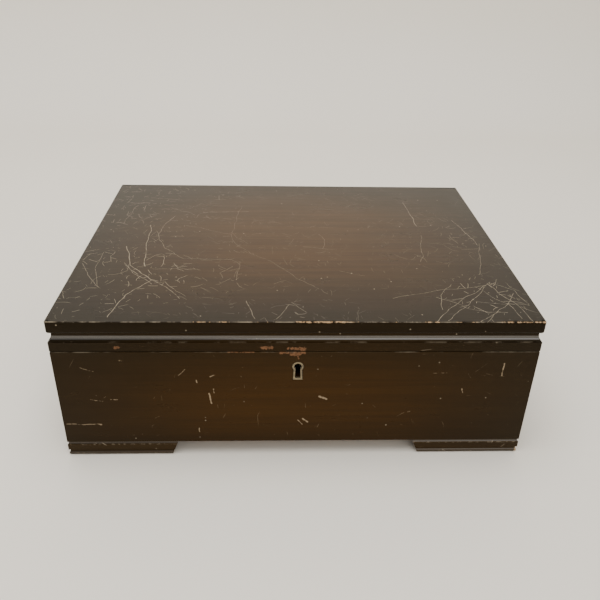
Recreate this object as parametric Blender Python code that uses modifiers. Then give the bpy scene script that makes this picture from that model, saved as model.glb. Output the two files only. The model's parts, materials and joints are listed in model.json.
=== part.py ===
"""A table music box that plays large steel tune discs, with its case, lid, lock and wind-up motor.

The model is in metres with +Z up. Its origin is on the table, under the centre of the case, and
the keyhole side faces -Y. It stands at rest with the lid shut and the brake on.
"""

import math

import bmesh
import bpy
from mathutils import Matrix, Vector

MM = 0.001
GAP = 0.3 * MM  # between pieces that touch
FACETS = 24  # sides of a turned piece

# ---- Case: its inside is sized to the disc and the motor beside it ------------------------------
DISC_RADIUS = 149 * MM
DISC_CLEARANCE_X = 4 * MM  # from the disc's edge to the left board
DISC_CLEARANCE_Y = 3 * MM  # from the disc's edge to the front and back boards
MOTOR_ROOM = 96 * MM  # from the disc's edge to the right board
WALL = 11 * MM
FOOT_HEIGHT = 15.5 * MM
BODY_HEIGHT = 99.5 * MM
RIM_HEIGHT = 17.6 * MM  # the moulded rails under the lid's panel
LID_PANEL = 12 * MM
EASE = 0.5 * MM  # small bevel on the boards' outer edges
BOTTOM_BOARD = 7 * MM
BOTTOM_RECESS = 2.5 * MM

INSIDE_X = (DISC_CLEARANCE_X + 2 * DISC_RADIUS + MOTOR_ROOM) / 2
INSIDE_Y = DISC_RADIUS + DISC_CLEARANCE_Y
CASE_WIDTH = 2 * (INSIDE_X + WALL)
CASE_DEPTH = 2 * (INSIDE_Y + WALL)
SEAM = FOOT_HEIGHT + BODY_HEIGHT  # the body's top edge
RIM_BOTTOM = SEAM + 0.4 * MM
RIM_TOP = RIM_BOTTOM + RIM_HEIGHT
PANEL_BOTTOM = RIM_TOP + GAP
CASE_TOP = PANEL_BOTTOM + LID_PANEL
FLOOR = FOOT_HEIGHT + BOTTOM_RECESS + BOTTOM_BOARD  # inside the case

RIM_ARRIS = 9.4 * MM  # height of the rim's flat band, under its cove
COVE_DEPTH = 3 * MM
COVE_HEIGHT = 6.5 * MM
PANEL_ROUND = 2.4 * MM

FOOT_THICKNESS = 22 * MM
FOOT_FRONT_LENGTH = 101 * MM
FOOT_SIDE_LENGTH = 86 * MM
FOOT_UNDERCUT = 6 * MM  # how far the slanting end leans back towards the corner

# ---- Lid hinges and stay ------------------------------------------------------------------
HINGE_SPACING = 250 * MM
HINGE_LENGTH = 40 * MM
HINGE_LEAF = 1.2 * MM
HINGE_LEAF_WIDTH = 9 * MM
KNUCKLE_RADIUS = 2.5 * MM
HINGE_PIN_RADIUS = 1 * MM
HINGE_BEHIND = 1.2 * MM  # the pin's axis stands behind the back board
HINGE_Y = CASE_DEPTH / 2 + HINGE_BEHIND
BEHIND = HINGE_BEHIND + KNUCKLE_RADIUS  # how far the knuckles stand out behind the case
HINGE_Z = SEAM + 0.2 * MM

STAY_RADIUS = (SEAM - FLOOR) * 5 / 9  # both stay pivots lie this far from the hinge axis
STAY_PIVOT_RISE = 7.5 * MM
STAY_GUIDE_DROP = 11 * MM
STAY_OPENING = math.radians(100)
STAY_WIDTH = 9 * MM
STAY_THICKNESS = 1.5 * MM
STAY_SCREW_RADIUS = 2 * MM
STAY_CLEARANCE = 0.4 * MM
LID_FITTINGS = ("hinge_left_lid_leaf", "hinge_right_lid_leaf", "stay_pivot_screw", "lock_keeper")

# ---- Lock ---------------------------------------------------------------------------------
LOCK_WIDTH = 44 * MM
LOCK_HEIGHT = 27 * MM
LOCK_BEHIND = 0.4 * MM  # how far the lock is sunk below the board's inner face
LOCK_COVER = 3.1 * MM  # wood and plate left in front of the lock
LOCK_THICKNESS = WALL - LOCK_COVER - LOCK_BEHIND
KEYHOLE_BELOW_SEAM = 15.4 * MM  # to the centre of the keyhole's round part
KEYHOLE_RADIUS = 3.25 * MM
KEYHOLE_SLOT = 2 * MM  # half width
KEYHOLE_DROP = 12.1 * MM  # from the round part's centre to the slot's foot
ESCUTCHEON_RIM = 1.8 * MM
ESCUTCHEON_DEPTH = LOCK_COVER - 0.8 * MM
BOLT_TRAVEL = 6 * MM

# ---- Tune disc and its bed: heights are above the inside floor -----------------------------------
DISC_THICKNESS = 0.8 * MM
DISC_X = DISC_CLEARANCE_X + DISC_RADIUS - INSIDE_X
DISC_BOTTOM = FLOOR + 72 * MM
DISC_TOP = DISC_BOTTOM + DISC_THICKNESS
DISC_HOLES = 80
DISC_HOLE_MARGIN = 6 * MM  # from the drive holes' circle to the disc's edge
DISC_HOLE_CIRCLE = DISC_RADIUS - DISC_HOLE_MARGIN
DISC_HOLE_LENGTH = 7 * MM
DISC_HOLE_WIDTH = 5 * MM
SPINDLE_RADIUS = 3 * MM
SPINDLE_NECK = 1.8 * MM

BEDPLATE = 6 * MM
BEARER_WIDTH = 12 * MM

# The pressure bar, the star wheels and the comb share one radius of the disc.
BAR_ANGLE = math.radians(35.3)
BAR_LENGTH = DISC_RADIUS + 15.3 * MM  # from the spindle to the bar's post
BAR_WIDTH = 13 * MM
BAR_THICKNESS = 4 * MM
BAR_BOTTOM = DISC_TOP + 2.2 * MM
ROLLER_RADIUS = 4.4 * MM
ROLLER_LENGTH = 9 * MM
ROLLER_PIN = 1 * MM

STAR_COUNT = 20
STAR_POINTS = 6
STAR_TIP = 7.6 * MM
STAR_ROOT = 4.2 * MM
STAR_THICKNESS = 1.4 * MM
STAR_START = 40 * MM  # first star wheel's distance from the spindle
STAR_END = DISC_HOLE_CIRCLE - 9.9 * MM
STAR_PITCH = (STAR_END - STAR_START) / (STAR_COUNT - 1)
STAR_Z = DISC_BOTTOM - STAR_TIP - 0.7 * MM
ROLLER_PLACES = (STAR_START + 12 * MM, STAR_END - 15.1 * MM)
COMB_TEETH = 40
COMB_PITCH = STAR_PITCH * STAR_COUNT / COMB_TEETH
COMB_SLOT = 0.55 * MM
COMB_THICKNESS = 2.4 * MM
COMB_BACK = 66 * MM  # from the star wheels' axis to the comb's back edge
COMB_BASS_ROOT = 50 * MM
COMB_TREBLE_ROOT = 26 * MM

# ---- Motor: its frame stands beside the drive sprocket --------------------------------------------
SPROCKET_TEETH = 8
SPROCKET_TOOTH = 3 * MM  # thickness
SPROCKET_RADIUS = DISC_HOLE_CIRCLE * SPROCKET_TEETH / DISC_HOLES
SPROCKET_X = DISC_X + DISC_HOLE_CIRCLE
BEDPLATE_TOP = DISC_BOTTOM - 2 * SPROCKET_RADIUS - 6.4 * MM  # clear of the sprocket
DRIVE_Y = 0.0
DRIVE_Z = DISC_BOTTOM + DISC_THICKNESS / 2 - SPROCKET_RADIUS

PLATE = 2 * MM
PLATE_INNER_X = DISC_X + DISC_RADIUS + 2.5 * MM
PLATE_OUTER_X = PLATE_INNER_X + 66.5 * MM
PLATE_FRONT = -48 * MM
PLATE_TOP = DISC_BOTTOM
PLATE_FOOT = 9 * MM

GREAT_MODULE, GREAT_TEETH, DRIVE_PINION_TEETH = 1.08 * MM, 60, 10
SECOND_MODULE, SECOND_TEETH, THIRD_PINION_TEETH = 0.6 * MM, 48, 10
WORM_MODULE, WORM_WHEEL_TEETH, WORM_RADIUS = 0.7 * MM, 30, 3.5 * MM

BARREL_Z = DISC_BOTTOM - 33.5 * MM
GREAT_CENTRES = GREAT_MODULE * (GREAT_TEETH + DRIVE_PINION_TEETH) / 2
BARREL_Y = math.sqrt(GREAT_CENTRES**2 - (DRIVE_Z - BARREL_Z) ** 2)
PLATE_REAR = BARREL_Y + 39.7 * MM
GREAT_X = PLATE_INNER_X + 5 * MM
GREAT_FACE = 3 * MM
BARREL_RADIUS = 29 * MM
BARREL_WALL = 1.5 * MM
BARREL_END_X = GREAT_X + 39.5 * MM
ARBOR_RADIUS = 4 * MM
ARBOR_PIVOT = 2.4 * MM
SPRING_TURNS = 6
SPRING_STRIP = 0.7 * MM

THIRD_Z = DISC_BOTTOM - 25 * MM
SECOND_CENTRES = SECOND_MODULE * (SECOND_TEETH + THIRD_PINION_TEETH) / 2
THIRD_Y = -math.sqrt(SECOND_CENTRES**2 - (DRIVE_Z - THIRD_Z) ** 2)
SECOND_X = BARREL_END_X + 4 * MM
WHEEL_FACE = 2 * MM
DRIVE_SEAT = 2.5 * MM  # radius of the drive arbor where its wheels sit
SPROCKET_SEAT = 2 * MM
THIRD_SEAT = 1.8 * MM
THIRD_PIVOT = 1.1 * MM
WORM_X = PLATE_INNER_X + 26.5 * MM
WORM_WHEEL_RADIUS = WORM_MODULE * WORM_WHEEL_TEETH / 2
WORM_WHEEL_FACE = 3 * MM
FLY_Y = THIRD_Y - WORM_WHEEL_RADIUS - WORM_RADIUS
FLY_SEAT = 1.6 * MM
WORM_LEAD = math.pi * WORM_MODULE
WORM_TURNS = 3
FLY_RADIUS = 13 * MM
FLY_HEIGHT = 6.5 * MM
FLY_BOTTOM = PLATE_TOP - 12.5 * MM
BRAKE_RADIUS = 6 * MM
BRAKE_HEIGHT = 1.4 * MM
BRAKE_BOTTOM = PLATE_TOP - 4.7 * MM
BRACKET_TOP = PLATE_TOP - 0.2 * MM
BRACKET_ARM = 2 * MM
BRACKET_LOW = PLATE_TOP - 43 * MM
BRACKET_WIDTH = 9 * MM
PIVOT_RADIUS = 1.5 * MM
PILLAR_RADIUS = 3.2 * MM
PILLAR_PIVOT = 2 * MM

SOCKET_RADIUS = 6.2 * MM
SOCKET_WALL = 2.2 * MM
SOCKET_FLANGE = SOCKET_RADIUS + SOCKET_WALL + 3.6 * MM
SOCKET_FLANGE_THICKNESS = 1.6 * MM
ARBOR_SQUARE = 6 * MM
ARBOR_END_X = INSIDE_X + 1.5 * MM

LEVER_X = PLATE_OUTER_X - 12 * MM
LEVER_Y = FLY_Y - 12.6 * MM
LEVER_THICKNESS = 1.6 * MM
LEVER_BOTTOM = BRAKE_BOTTOM - 0.1 * MM
LEVER_PIVOT = 1.8 * MM

CRANK_LENGTH = 62 * MM
CRANK_Y = 40 * MM - INSIDE_Y
CRANK_X = INSIDE_X - CRANK_LENGTH - 19 * MM
CRANK_PIN = 1.8 * MM

# ---- Colours and finishes: colour, metallic, roughness -----------------------------------------
LACQUER = ("dark_lacquered_wood", (0.045, 0.024, 0.012), 0.0, 0.3)
BARE_WOOD = ("bare_beech", (0.45, 0.28, 0.14), 0.0, 0.7)
KNOB_WOOD = ("turned_knob_wood", (0.03, 0.015, 0.01), 0.0, 0.35)
BRASS = ("brass", (0.62, 0.42, 0.16), 1.0, 0.3)
AGED_BRASS = ("aged_brass", (0.36, 0.29, 0.17), 1.0, 0.45)
STEEL = ("steel", (0.5, 0.5, 0.5), 1.0, 0.32)
DISC_STEEL = ("disc_steel", (0.42, 0.41, 0.39), 1.0, 0.38)
SPRING_STEEL = ("blued_spring_steel", (0.08, 0.1, 0.16), 1.0, 0.35)
IRON = ("gilt_iron", (0.42, 0.3, 0.12), 0.7, 0.5)
NICKEL = ("nickel_plate", (0.66, 0.64, 0.6), 1.0, 0.22)


# ---- Tools ------------------------------------------------------------------------------------
def clear_scene():
    for obj in list(bpy.data.objects):
        bpy.data.objects.remove(obj, do_unlink=True)


def new_collection(name):
    collection = bpy.data.collections.new(name)
    bpy.context.scene.collection.children.link(collection)
    return collection


def material(finish):
    name, colour, metallic, roughness = finish
    found = bpy.data.materials.get(name)
    if found:
        return found
    made = bpy.data.materials.new(name)
    made.use_nodes = True
    shader = made.node_tree.nodes["Principled BSDF"]
    shader.inputs["Base Color"].default_value = (*colour, 1)
    shader.inputs["Metallic"].default_value = metallic
    shader.inputs["Roughness"].default_value = roughness
    return made


def add_object(name, mesh, finish):
    obj = bpy.data.objects.new(name, mesh)
    PARTS.objects.link(obj)
    if finish:
        obj.data.materials.append(material(finish))
    return obj


def circle(radius, centre=(0, 0), sides=FACETS, start=0.0):
    """Points round a circle, anticlockwise."""
    return [
        (
            centre[0] + radius * math.cos(start + 2 * math.pi * i / sides),
            centre[1] + radius * math.sin(start + 2 * math.pi * i / sides),
        )
        for i in range(sides)
    ]


def rectangle(low, high):
    return [(low[0], low[1]), (high[0], low[1]), (high[0], high[1]), (low[0], high[1])]


def prism(name, outline, thickness, finish, holes=()):
    """A flat outline with holes, extruded along local Z and centred on its plane, as a mesh."""
    curve = bpy.data.curves.new(name + "_outline", "CURVE")
    curve.dimensions = "2D"
    curve.fill_mode = "BOTH"
    curve.extrude = thickness / 2
    for loop in (outline, *holes):
        spline = curve.splines.new("POLY")
        spline.points.add(len(loop) - 1)
        for point, (x, y) in zip(spline.points, loop):
            point.co = (x, y, 0, 1)
        spline.use_cyclic_u = True
    source = bpy.data.objects.new(name + "_outline", curve)
    PARTS.objects.link(source)
    bpy.context.view_layer.update()
    graph = bpy.context.evaluated_depsgraph_get()
    mesh = bpy.data.meshes.new_from_object(source.evaluated_get(graph))
    bpy.data.objects.remove(source)
    bpy.data.curves.remove(curve)
    mesh.name = name
    weld(mesh)
    return add_object(name, mesh, finish)


def weld(mesh):
    shape = bmesh.new()
    shape.from_mesh(mesh)
    bmesh.ops.remove_doubles(shape, verts=shape.verts, dist=1e-6)
    bmesh.ops.recalc_face_normals(shape, faces=shape.faces)
    shape.to_mesh(mesh)
    shape.free()


def box(name, low, high, finish=None):
    """A block between two corners."""
    shape = bmesh.new()
    bmesh.ops.create_cube(shape, size=1)
    low, high = Vector(low), Vector(high)
    size = high - low
    bmesh.ops.scale(shape, vec=size, verts=shape.verts)
    bmesh.ops.translate(shape, vec=(low + high) / 2, verts=shape.verts)
    mesh = bpy.data.meshes.new(name)
    shape.to_mesh(mesh)
    shape.free()
    return add_object(name, mesh, finish)


def turned(name, profile, finish, facets=FACETS, bore=False):
    """A turned piece: (radius, height) points from top to bottom down its outer side, about local Z.

    A bored piece's profile goes on up its bore and closes on its first point.
    """
    mesh = bpy.data.meshes.new(name)
    points = [(radius, 0, height) for radius, height in profile]
    edges = [(i, i + 1) for i in range(len(points) - 1)]
    if bore:
        edges.append((len(points) - 1, 0))
    mesh.from_pydata(points, edges, [])
    obj = add_object(name, mesh, finish)
    screw = obj.modifiers.new("Turn", "SCREW")
    screw.axis = "Z"
    screw.steps = screw.render_steps = facets
    screw.use_merge_vertices = True
    screw.merge_threshold = 1e-5
    screw.use_smooth_shade = False
    apply_modifiers(obj)
    return obj


def apply_modifiers(obj):
    """The evaluated mesh becomes the object's own, so that it can be cut or joined."""
    bpy.context.view_layer.update()
    graph = bpy.context.evaluated_depsgraph_get()
    mesh = bpy.data.meshes.new_from_object(obj.evaluated_get(graph))
    obj.modifiers.clear()
    old = obj.data
    obj.data = mesh
    mesh.name = obj.name
    bpy.data.meshes.remove(old)


def transform(obj, matrix):
    obj.data.transform(matrix)
    obj.data.update()
    return obj


def combine(obj, others, operation):
    """Joins the others to obj, or cuts them from it, and removes them."""
    for other in others:
        modifier = obj.modifiers.new("Boolean", "BOOLEAN")
        modifier.operation = operation
        modifier.solver = "EXACT"
        modifier.object = other
        apply_modifiers(obj)
        bpy.data.objects.remove(other, do_unlink=True)
    return obj


def join(obj, *others):
    return combine(obj, others, "UNION")


def cut(obj, *others):
    return combine(obj, others, "DIFFERENCE")


def shade(obj, angle=35):
    obj.data.shade_smooth()
    obj.data.set_sharp_from_angle(angle=math.radians(angle))
    return obj


# Local X, Y and Z to the row's Y, Z and X: a wheel on a shaft that lies along X.
ALONG_X = Matrix(((0, 0, 1, 0), (1, 0, 0, 0), (0, 1, 0, 0), (0, 0, 0, 1)))


def place(obj, location, turn=0.0, along_x=False):
    """Sets an object's place: its origin goes on its joint's axis."""
    matrix = Matrix.Translation(location)
    if along_x:
        matrix = matrix @ ALONG_X
    obj.matrix_world = matrix @ Matrix.Rotation(turn, 4, "Z")
    return obj


# ---- Case, feet and lid ----------------------------------------------------------------------
def mitred_rail(name, profile, length, half_span, side, finish):
    """A moulding along one side of the case, with both ends cut on the mitre.

    Its profile is (inset, height) points, with the inset measured from the outer face.
    side counts quarter turns from the front: 0 front, 1 right, 2 back, 3 left.
    """
    rail = prism(name, profile, length, finish)
    transform(rail, Matrix.Translation((0, -half_span, 0)) @ ALONG_X)
    shape = bmesh.new()
    shape.from_mesh(rail.data)
    for end in (-1, 1):
        corner = Vector((end * (length / 2 - GAP / 2), -half_span, 0))
        geometry = shape.verts[:] + shape.edges[:] + shape.faces[:]
        bmesh.ops.bisect_plane(
            shape, geom=geometry, plane_co=corner, plane_no=(end, 1, 0), clear_outer=True
        )
        rim = [edge for edge in shape.edges if edge.is_boundary]
        bmesh.ops.holes_fill(shape, edges=rim)
    bmesh.ops.recalc_face_normals(shape, faces=shape.faces)
    shape.to_mesh(rail.data)
    shape.free()
    return transform(rail, Matrix.Rotation(side * math.pi / 2, 4, "Z"))


def case_sides():
    """(name, length along the side, half the span across, quarter turns) of the four sides."""
    return (
        ("front", CASE_WIDTH, CASE_DEPTH / 2, 0),
        ("right", CASE_DEPTH, CASE_WIDTH / 2, 1),
        ("back", CASE_WIDTH, CASE_DEPTH / 2, 2),
        ("left", CASE_DEPTH, CASE_WIDTH / 2, 3),
    )


def build_boards():
    profile = [
        (EASE, FOOT_HEIGHT),
        (WALL, FOOT_HEIGHT),
        (WALL, SEAM),
        (EASE, SEAM),
        (0, SEAM - EASE),
        (0, FOOT_HEIGHT + EASE),
    ]
    boards = {
        side: mitred_rail(side + "_board", profile, length, span, turn, LACQUER)
        for side, length, span, turn in case_sides()
    }
    box(
        "bottom_board",
        (-INSIDE_X + GAP, -INSIDE_Y + GAP, FLOOR - BOTTOM_BOARD),
        (INSIDE_X - GAP, INSIDE_Y - GAP, FLOOR),
        BARE_WOOD,
    )
    return boards


def foot_profile():
    """(inset, height) down a foot's moulded face: a cove, a flat, a groove and a bottom bead."""
    top = FOOT_HEIGHT - GAP
    bead = 2.2 * MM
    bulge = [
        (bead * (1 - math.cos(angle)) + 0.1 * MM, bead * (1 - math.sin(angle)))
        for angle in (math.radians(a) for a in (-60, -30, 0, 30, 60, 90))
    ]
    return [
        (1.4 * MM, top),
        (1.1 * MM, top - 1.3 * MM),
        (0, top - 2.6 * MM),
        (0, top - 8.6 * MM),
        (1.3 * MM, top - 9.4 * MM),
        (1.3 * MM, bead * 2.15),
        *bulge,
    ]


def build_foot(name, x_side, y_side):
    """An L-shaped corner foot: its six-cornered plan is lofted down the moulding's profile."""
    shape = bmesh.new()
    rings = []
    top = FOOT_HEIGHT - GAP
    for inset, height in foot_profile():
        lean = FOOT_UNDERCUT * (1 - height / top)
        outer_x, outer_y = CASE_WIDTH / 2 - inset, CASE_DEPTH / 2 - inset
        inner_x, inner_y = CASE_WIDTH / 2 - FOOT_THICKNESS, CASE_DEPTH / 2 - FOOT_THICKNESS
        end_x = CASE_WIDTH / 2 - FOOT_FRONT_LENGTH + lean
        end_y = CASE_DEPTH / 2 - FOOT_SIDE_LENGTH + lean
        plan = [
            (outer_x, outer_y),
            (end_x, outer_y),
            (end_x, inner_y),
            (inner_x, inner_y),
            (inner_x, end_y),
            (outer_x, end_y),
        ]
        rings.append([shape.verts.new((x_side * x, y_side * y, height)) for x, y in plan])
    for upper, lower in zip(rings, rings[1:]):
        for i in range(len(upper)):
            j = (i + 1) % len(upper)
            shape.faces.new((upper[i], upper[j], lower[j], lower[i]))
    shape.faces.new(rings[0])
    shape.faces.new(rings[-1])
    bmesh.ops.recalc_face_normals(shape, faces=shape.faces)
    mesh = bpy.data.meshes.new(name)
    shape.to_mesh(mesh)
    shape.free()
    return add_object(name, mesh, LACQUER)


def build_feet():
    for y_side, place_name in ((-1, "front"), (1, "rear")):
        for x_side, side_name in ((-1, "left"), (1, "right")):
            build_foot(f"foot_{place_name}_{side_name}", x_side, y_side)


def rim_profile():
    """(inset, height) round a lid rail: a flat band under a hollow cove."""
    arris = RIM_BOTTOM + RIM_ARRIS
    cove = [
        (COVE_DEPTH * math.sin(angle), arris + COVE_HEIGHT * (1 - math.cos(angle)))
        for angle in (math.radians(a) for a in range(0, 91, 18))
    ]
    return [
        (EASE, RIM_BOTTOM),
        (WALL, RIM_BOTTOM),
        (WALL, RIM_TOP),
        (COVE_DEPTH, RIM_TOP),
        *reversed(cove),
        (0, RIM_BOTTOM + EASE),
    ]


def build_lid():
    rails = {
        side: mitred_rail("lid_rail_" + side, rim_profile(), length, span, turn, LACQUER)
        for side, length, span, turn in case_sides()
    }
    panel = box(
        "lid_panel",
        (-CASE_WIDTH / 2, -CASE_DEPTH / 2, PANEL_BOTTOM),
        (CASE_WIDTH / 2, CASE_DEPTH / 2, CASE_TOP),
        LACQUER,
    )
    shape = bmesh.new()
    shape.from_mesh(panel.data)
    middle = (PANEL_BOTTOM + CASE_TOP) / 2
    for low_edges, width, segments in ((True, PANEL_ROUND, 4), (False, EASE, 1)):
        edges = [
            edge
            for edge in shape.edges
            if all((vert.co.z < middle) == low_edges for vert in edge.verts)
        ]
        bmesh.ops.bevel(
            shape, geom=edges, offset=width, segments=segments, profile=0.5, affect="EDGES"
        )
    shape.to_mesh(panel.data)
    shape.free()
    return rails


# ---- Hinges and stay ---------------------------------------------------------------------------
def knuckle(name, start, end, radius):
    """A cylinder along X on the hinge axis, from start to end."""
    rod = turned(name, [(0, end), (radius, end), (radius, start), (0, start)], None, 16)
    return transform(rod, Matrix.Translation((0, HINGE_Y, HINGE_Z)) @ ALONG_X)


def hinge_leaf(name, bottom, middle_out, centre_x):
    """A hinge leaf: a plate whose middle third, or whose two outer thirds, reach the knuckles."""
    half = HINGE_LENGTH / 2
    third = HINGE_LENGTH / 6
    front = CASE_DEPTH / 2 - HINGE_LEAF_WIDTH
    short = HINGE_Y - KNUCKLE_RADIUS - GAP
    plate = box(name, (-half, front, bottom), (half, short, bottom + HINGE_LEAF), AGED_BRASS)
    spans = [(-third + GAP, third - GAP)]
    if not middle_out:
        spans = [(-half, -third), (third, half)]
    for i, (start, end) in enumerate(spans):
        tab = box(
            f"tab_{i}",
            (start, short - MM, bottom),
            (end, HINGE_Y, bottom + HINGE_LEAF),
        )
        join(plate, tab, knuckle(f"knuckle_{i}", start, end, KNUCKLE_RADIUS))
    if middle_out:
        cut(plate, knuckle("bore", -half, half, HINGE_PIN_RADIUS + GAP))
    else:
        join(plate, knuckle("pin", -half - 0.5 * MM, half + 0.5 * MM, HINGE_PIN_RADIUS))
    return transform(plate, Matrix.Translation((centre_x, 0, 0)))


def hinge_pocket(name, low, high, centre_x):
    """What is cut from a board for a leaf, and from its back edge for the knuckles."""
    half = HINGE_LENGTH / 2 + 0.8 * MM
    front = CASE_DEPTH / 2 - HINGE_LEAF_WIDTH - GAP
    pocket = box(name, (-half, front, low), (half, HINGE_Y + MM, high))
    return transform(pocket, Matrix.Translation((centre_x, 0, 0)))


def build_hinges(boards, rails):
    case_leaf = HINGE_Z - GAP - HINGE_LEAF
    lid_leaf = HINGE_Z + GAP
    notch = KNUCKLE_RADIUS + 0.5 * MM
    back_edge = HINGE_Y - notch
    for side, centre_x in (("left", -HINGE_SPACING / 2), ("right", HINGE_SPACING / 2)):
        hinge_leaf(f"hinge_{side}_case_leaf", case_leaf, False, centre_x)
        hinge_leaf(f"hinge_{side}_lid_leaf", lid_leaf, True, centre_x)
        half = HINGE_LENGTH / 2 + 0.8 * MM
        for board, low, high, corner_low, corner_high in (
            (boards["back"], case_leaf - GAP, SEAM + MM, HINGE_Z - notch, SEAM + MM),
            (
                rails["back"],
                RIM_BOTTOM - MM,
                lid_leaf + HINGE_LEAF + GAP,
                RIM_BOTTOM - MM,
                HINGE_Z + notch,
            ),
        ):
            corner = box(
                "corner",
                (centre_x - half, back_edge, corner_low),
                (centre_x + half, HINGE_Y + MM, corner_high),
            )
            cut(board, hinge_pocket("pocket", low, high, centre_x), corner)


def stay_pivot():
    """The stay's pivot on the lid, as (y, z)."""
    angle = math.asin(STAY_PIVOT_RISE / STAY_RADIUS)
    return HINGE_Y - STAY_RADIUS * math.cos(angle), HINGE_Z + STAY_PIVOT_RISE


def stay_guide():
    """The screw in the case's side that the stay's slot runs on, as (y, z)."""
    angle = math.asin(STAY_GUIDE_DROP / STAY_RADIUS)
    return HINGE_Y - STAY_RADIUS * math.cos(angle), HINGE_Z - STAY_GUIDE_DROP


def stadium(start, end, half_width, sides=12):
    """A round-ended slot from start to end, lying along -Y of the local plane."""
    right = [
        (half_width * math.cos(a), -start + half_width * math.sin(a))
        for a in (math.pi * i / sides for i in range(sides + 1))
    ]
    left = [
        (half_width * math.cos(a), -end + half_width * math.sin(a))
        for a in (math.pi + math.pi * i / sides for i in range(sides + 1))
    ]
    return right + left


def shoulder_screw(name):
    """A screw along local Z, with its head at the top and its shank below zero, in the wood."""
    length, head = 5.2 * MM, 1.6 * MM
    return turned(
        name,
        [
            (0, length),
            (3.2 * MM, length),
            (4 * MM, length - 0.5 * MM),
            (4 * MM, length - head),
            (STAY_SCREW_RADIUS, length - head),
            (STAY_SCREW_RADIUS, -7 * MM),
            (0, -7 * MM),
        ],
        STEEL,
        16,
    )


def build_stay(boards, rails):
    """A slotted arm from the lid's left rail to a screw in the left board.

    Both pivots are equally far from the hinge, so the arm turns half as far as the lid does.
    """
    (pivot_y, pivot_z), (guide_y, guide_z) = stay_pivot(), stay_guide()
    shut_angle = math.asin(STAY_PIVOT_RISE / STAY_RADIUS) + math.asin(
        STAY_GUIDE_DROP / STAY_RADIUS
    )
    near = 2 * STAY_RADIUS * math.sin(shut_angle / 2)
    far = 2 * STAY_RADIUS * math.sin((shut_angle + STAY_OPENING) / 2)
    slot = STAY_SCREW_RADIUS + STAY_CLEARANCE
    hole = circle(STAY_SCREW_RADIUS + STAY_CLEARANCE, sides=16)
    arm = prism(
        "stay_arm",
        stadium(0, far + slot, STAY_WIDTH / 2),
        STAY_THICKNESS,
        AGED_BRASS,
        holes=(hole, stadium(near, far, slot)),
    )
    lean = math.atan2(guide_y - pivot_y, pivot_z - guide_z)
    arm_x = -INSIDE_X + 1.4 * MM + STAY_THICKNESS / 2
    place(arm, (arm_x, pivot_y, pivot_z), turn=lean, along_x=True)
    for name, (y, z), wood in (
        ("stay_pivot_screw", stay_pivot(), rails["left"]),
        ("stay_guide_screw", stay_guide(), boards["left"]),
    ):
        place(shoulder_screw(name), (-INSIDE_X, y, z), along_x=True)
        hole = arbor("hole", [(STAY_SCREW_RADIUS + GAP, MM, -7.5 * MM)], None)
        cut(wood, transform(hole, Matrix.Translation((-INSIDE_X, y, z)) @ ALONG_X))


# ---- Lock --------------------------------------------------------------------------------------
def keyhole(grow=0.0):
    """A keyhole's outline about the centre of its round part, with a slot that flares downwards."""
    radius = KEYHOLE_RADIUS + grow
    slot = KEYHOLE_SLOT + grow
    foot = KEYHOLE_DROP + grow
    start = math.asin(slot / radius)
    sides = 14
    arc = [
        (radius * math.sin(a), -radius * math.cos(a))
        for a in (start + (2 * math.pi - 2 * start) * i / sides for i in range(sides + 1))
    ]
    flare = 0.5 * MM
    return [*arc, (-slot - flare, -foot), (slot + flare, -foot)]


def keyhole_prism(name, grow, front, back, finish=None):
    """A keyhole-shaped prism through the front board, from y = front to y = back."""
    piece = prism(name, keyhole(grow), back - front, finish)
    return face_front(piece, (front + back) / 2)


def face_front(piece, y):
    """Stands a prism up with its local Z along +Y, at the keyhole's height."""
    upright = Matrix.Rotation(math.pi / 2, 4, "X")
    centre = Matrix.Translation((0, y, SEAM - KEYHOLE_BELOW_SEAM))
    return transform(piece, centre @ upright)


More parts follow.
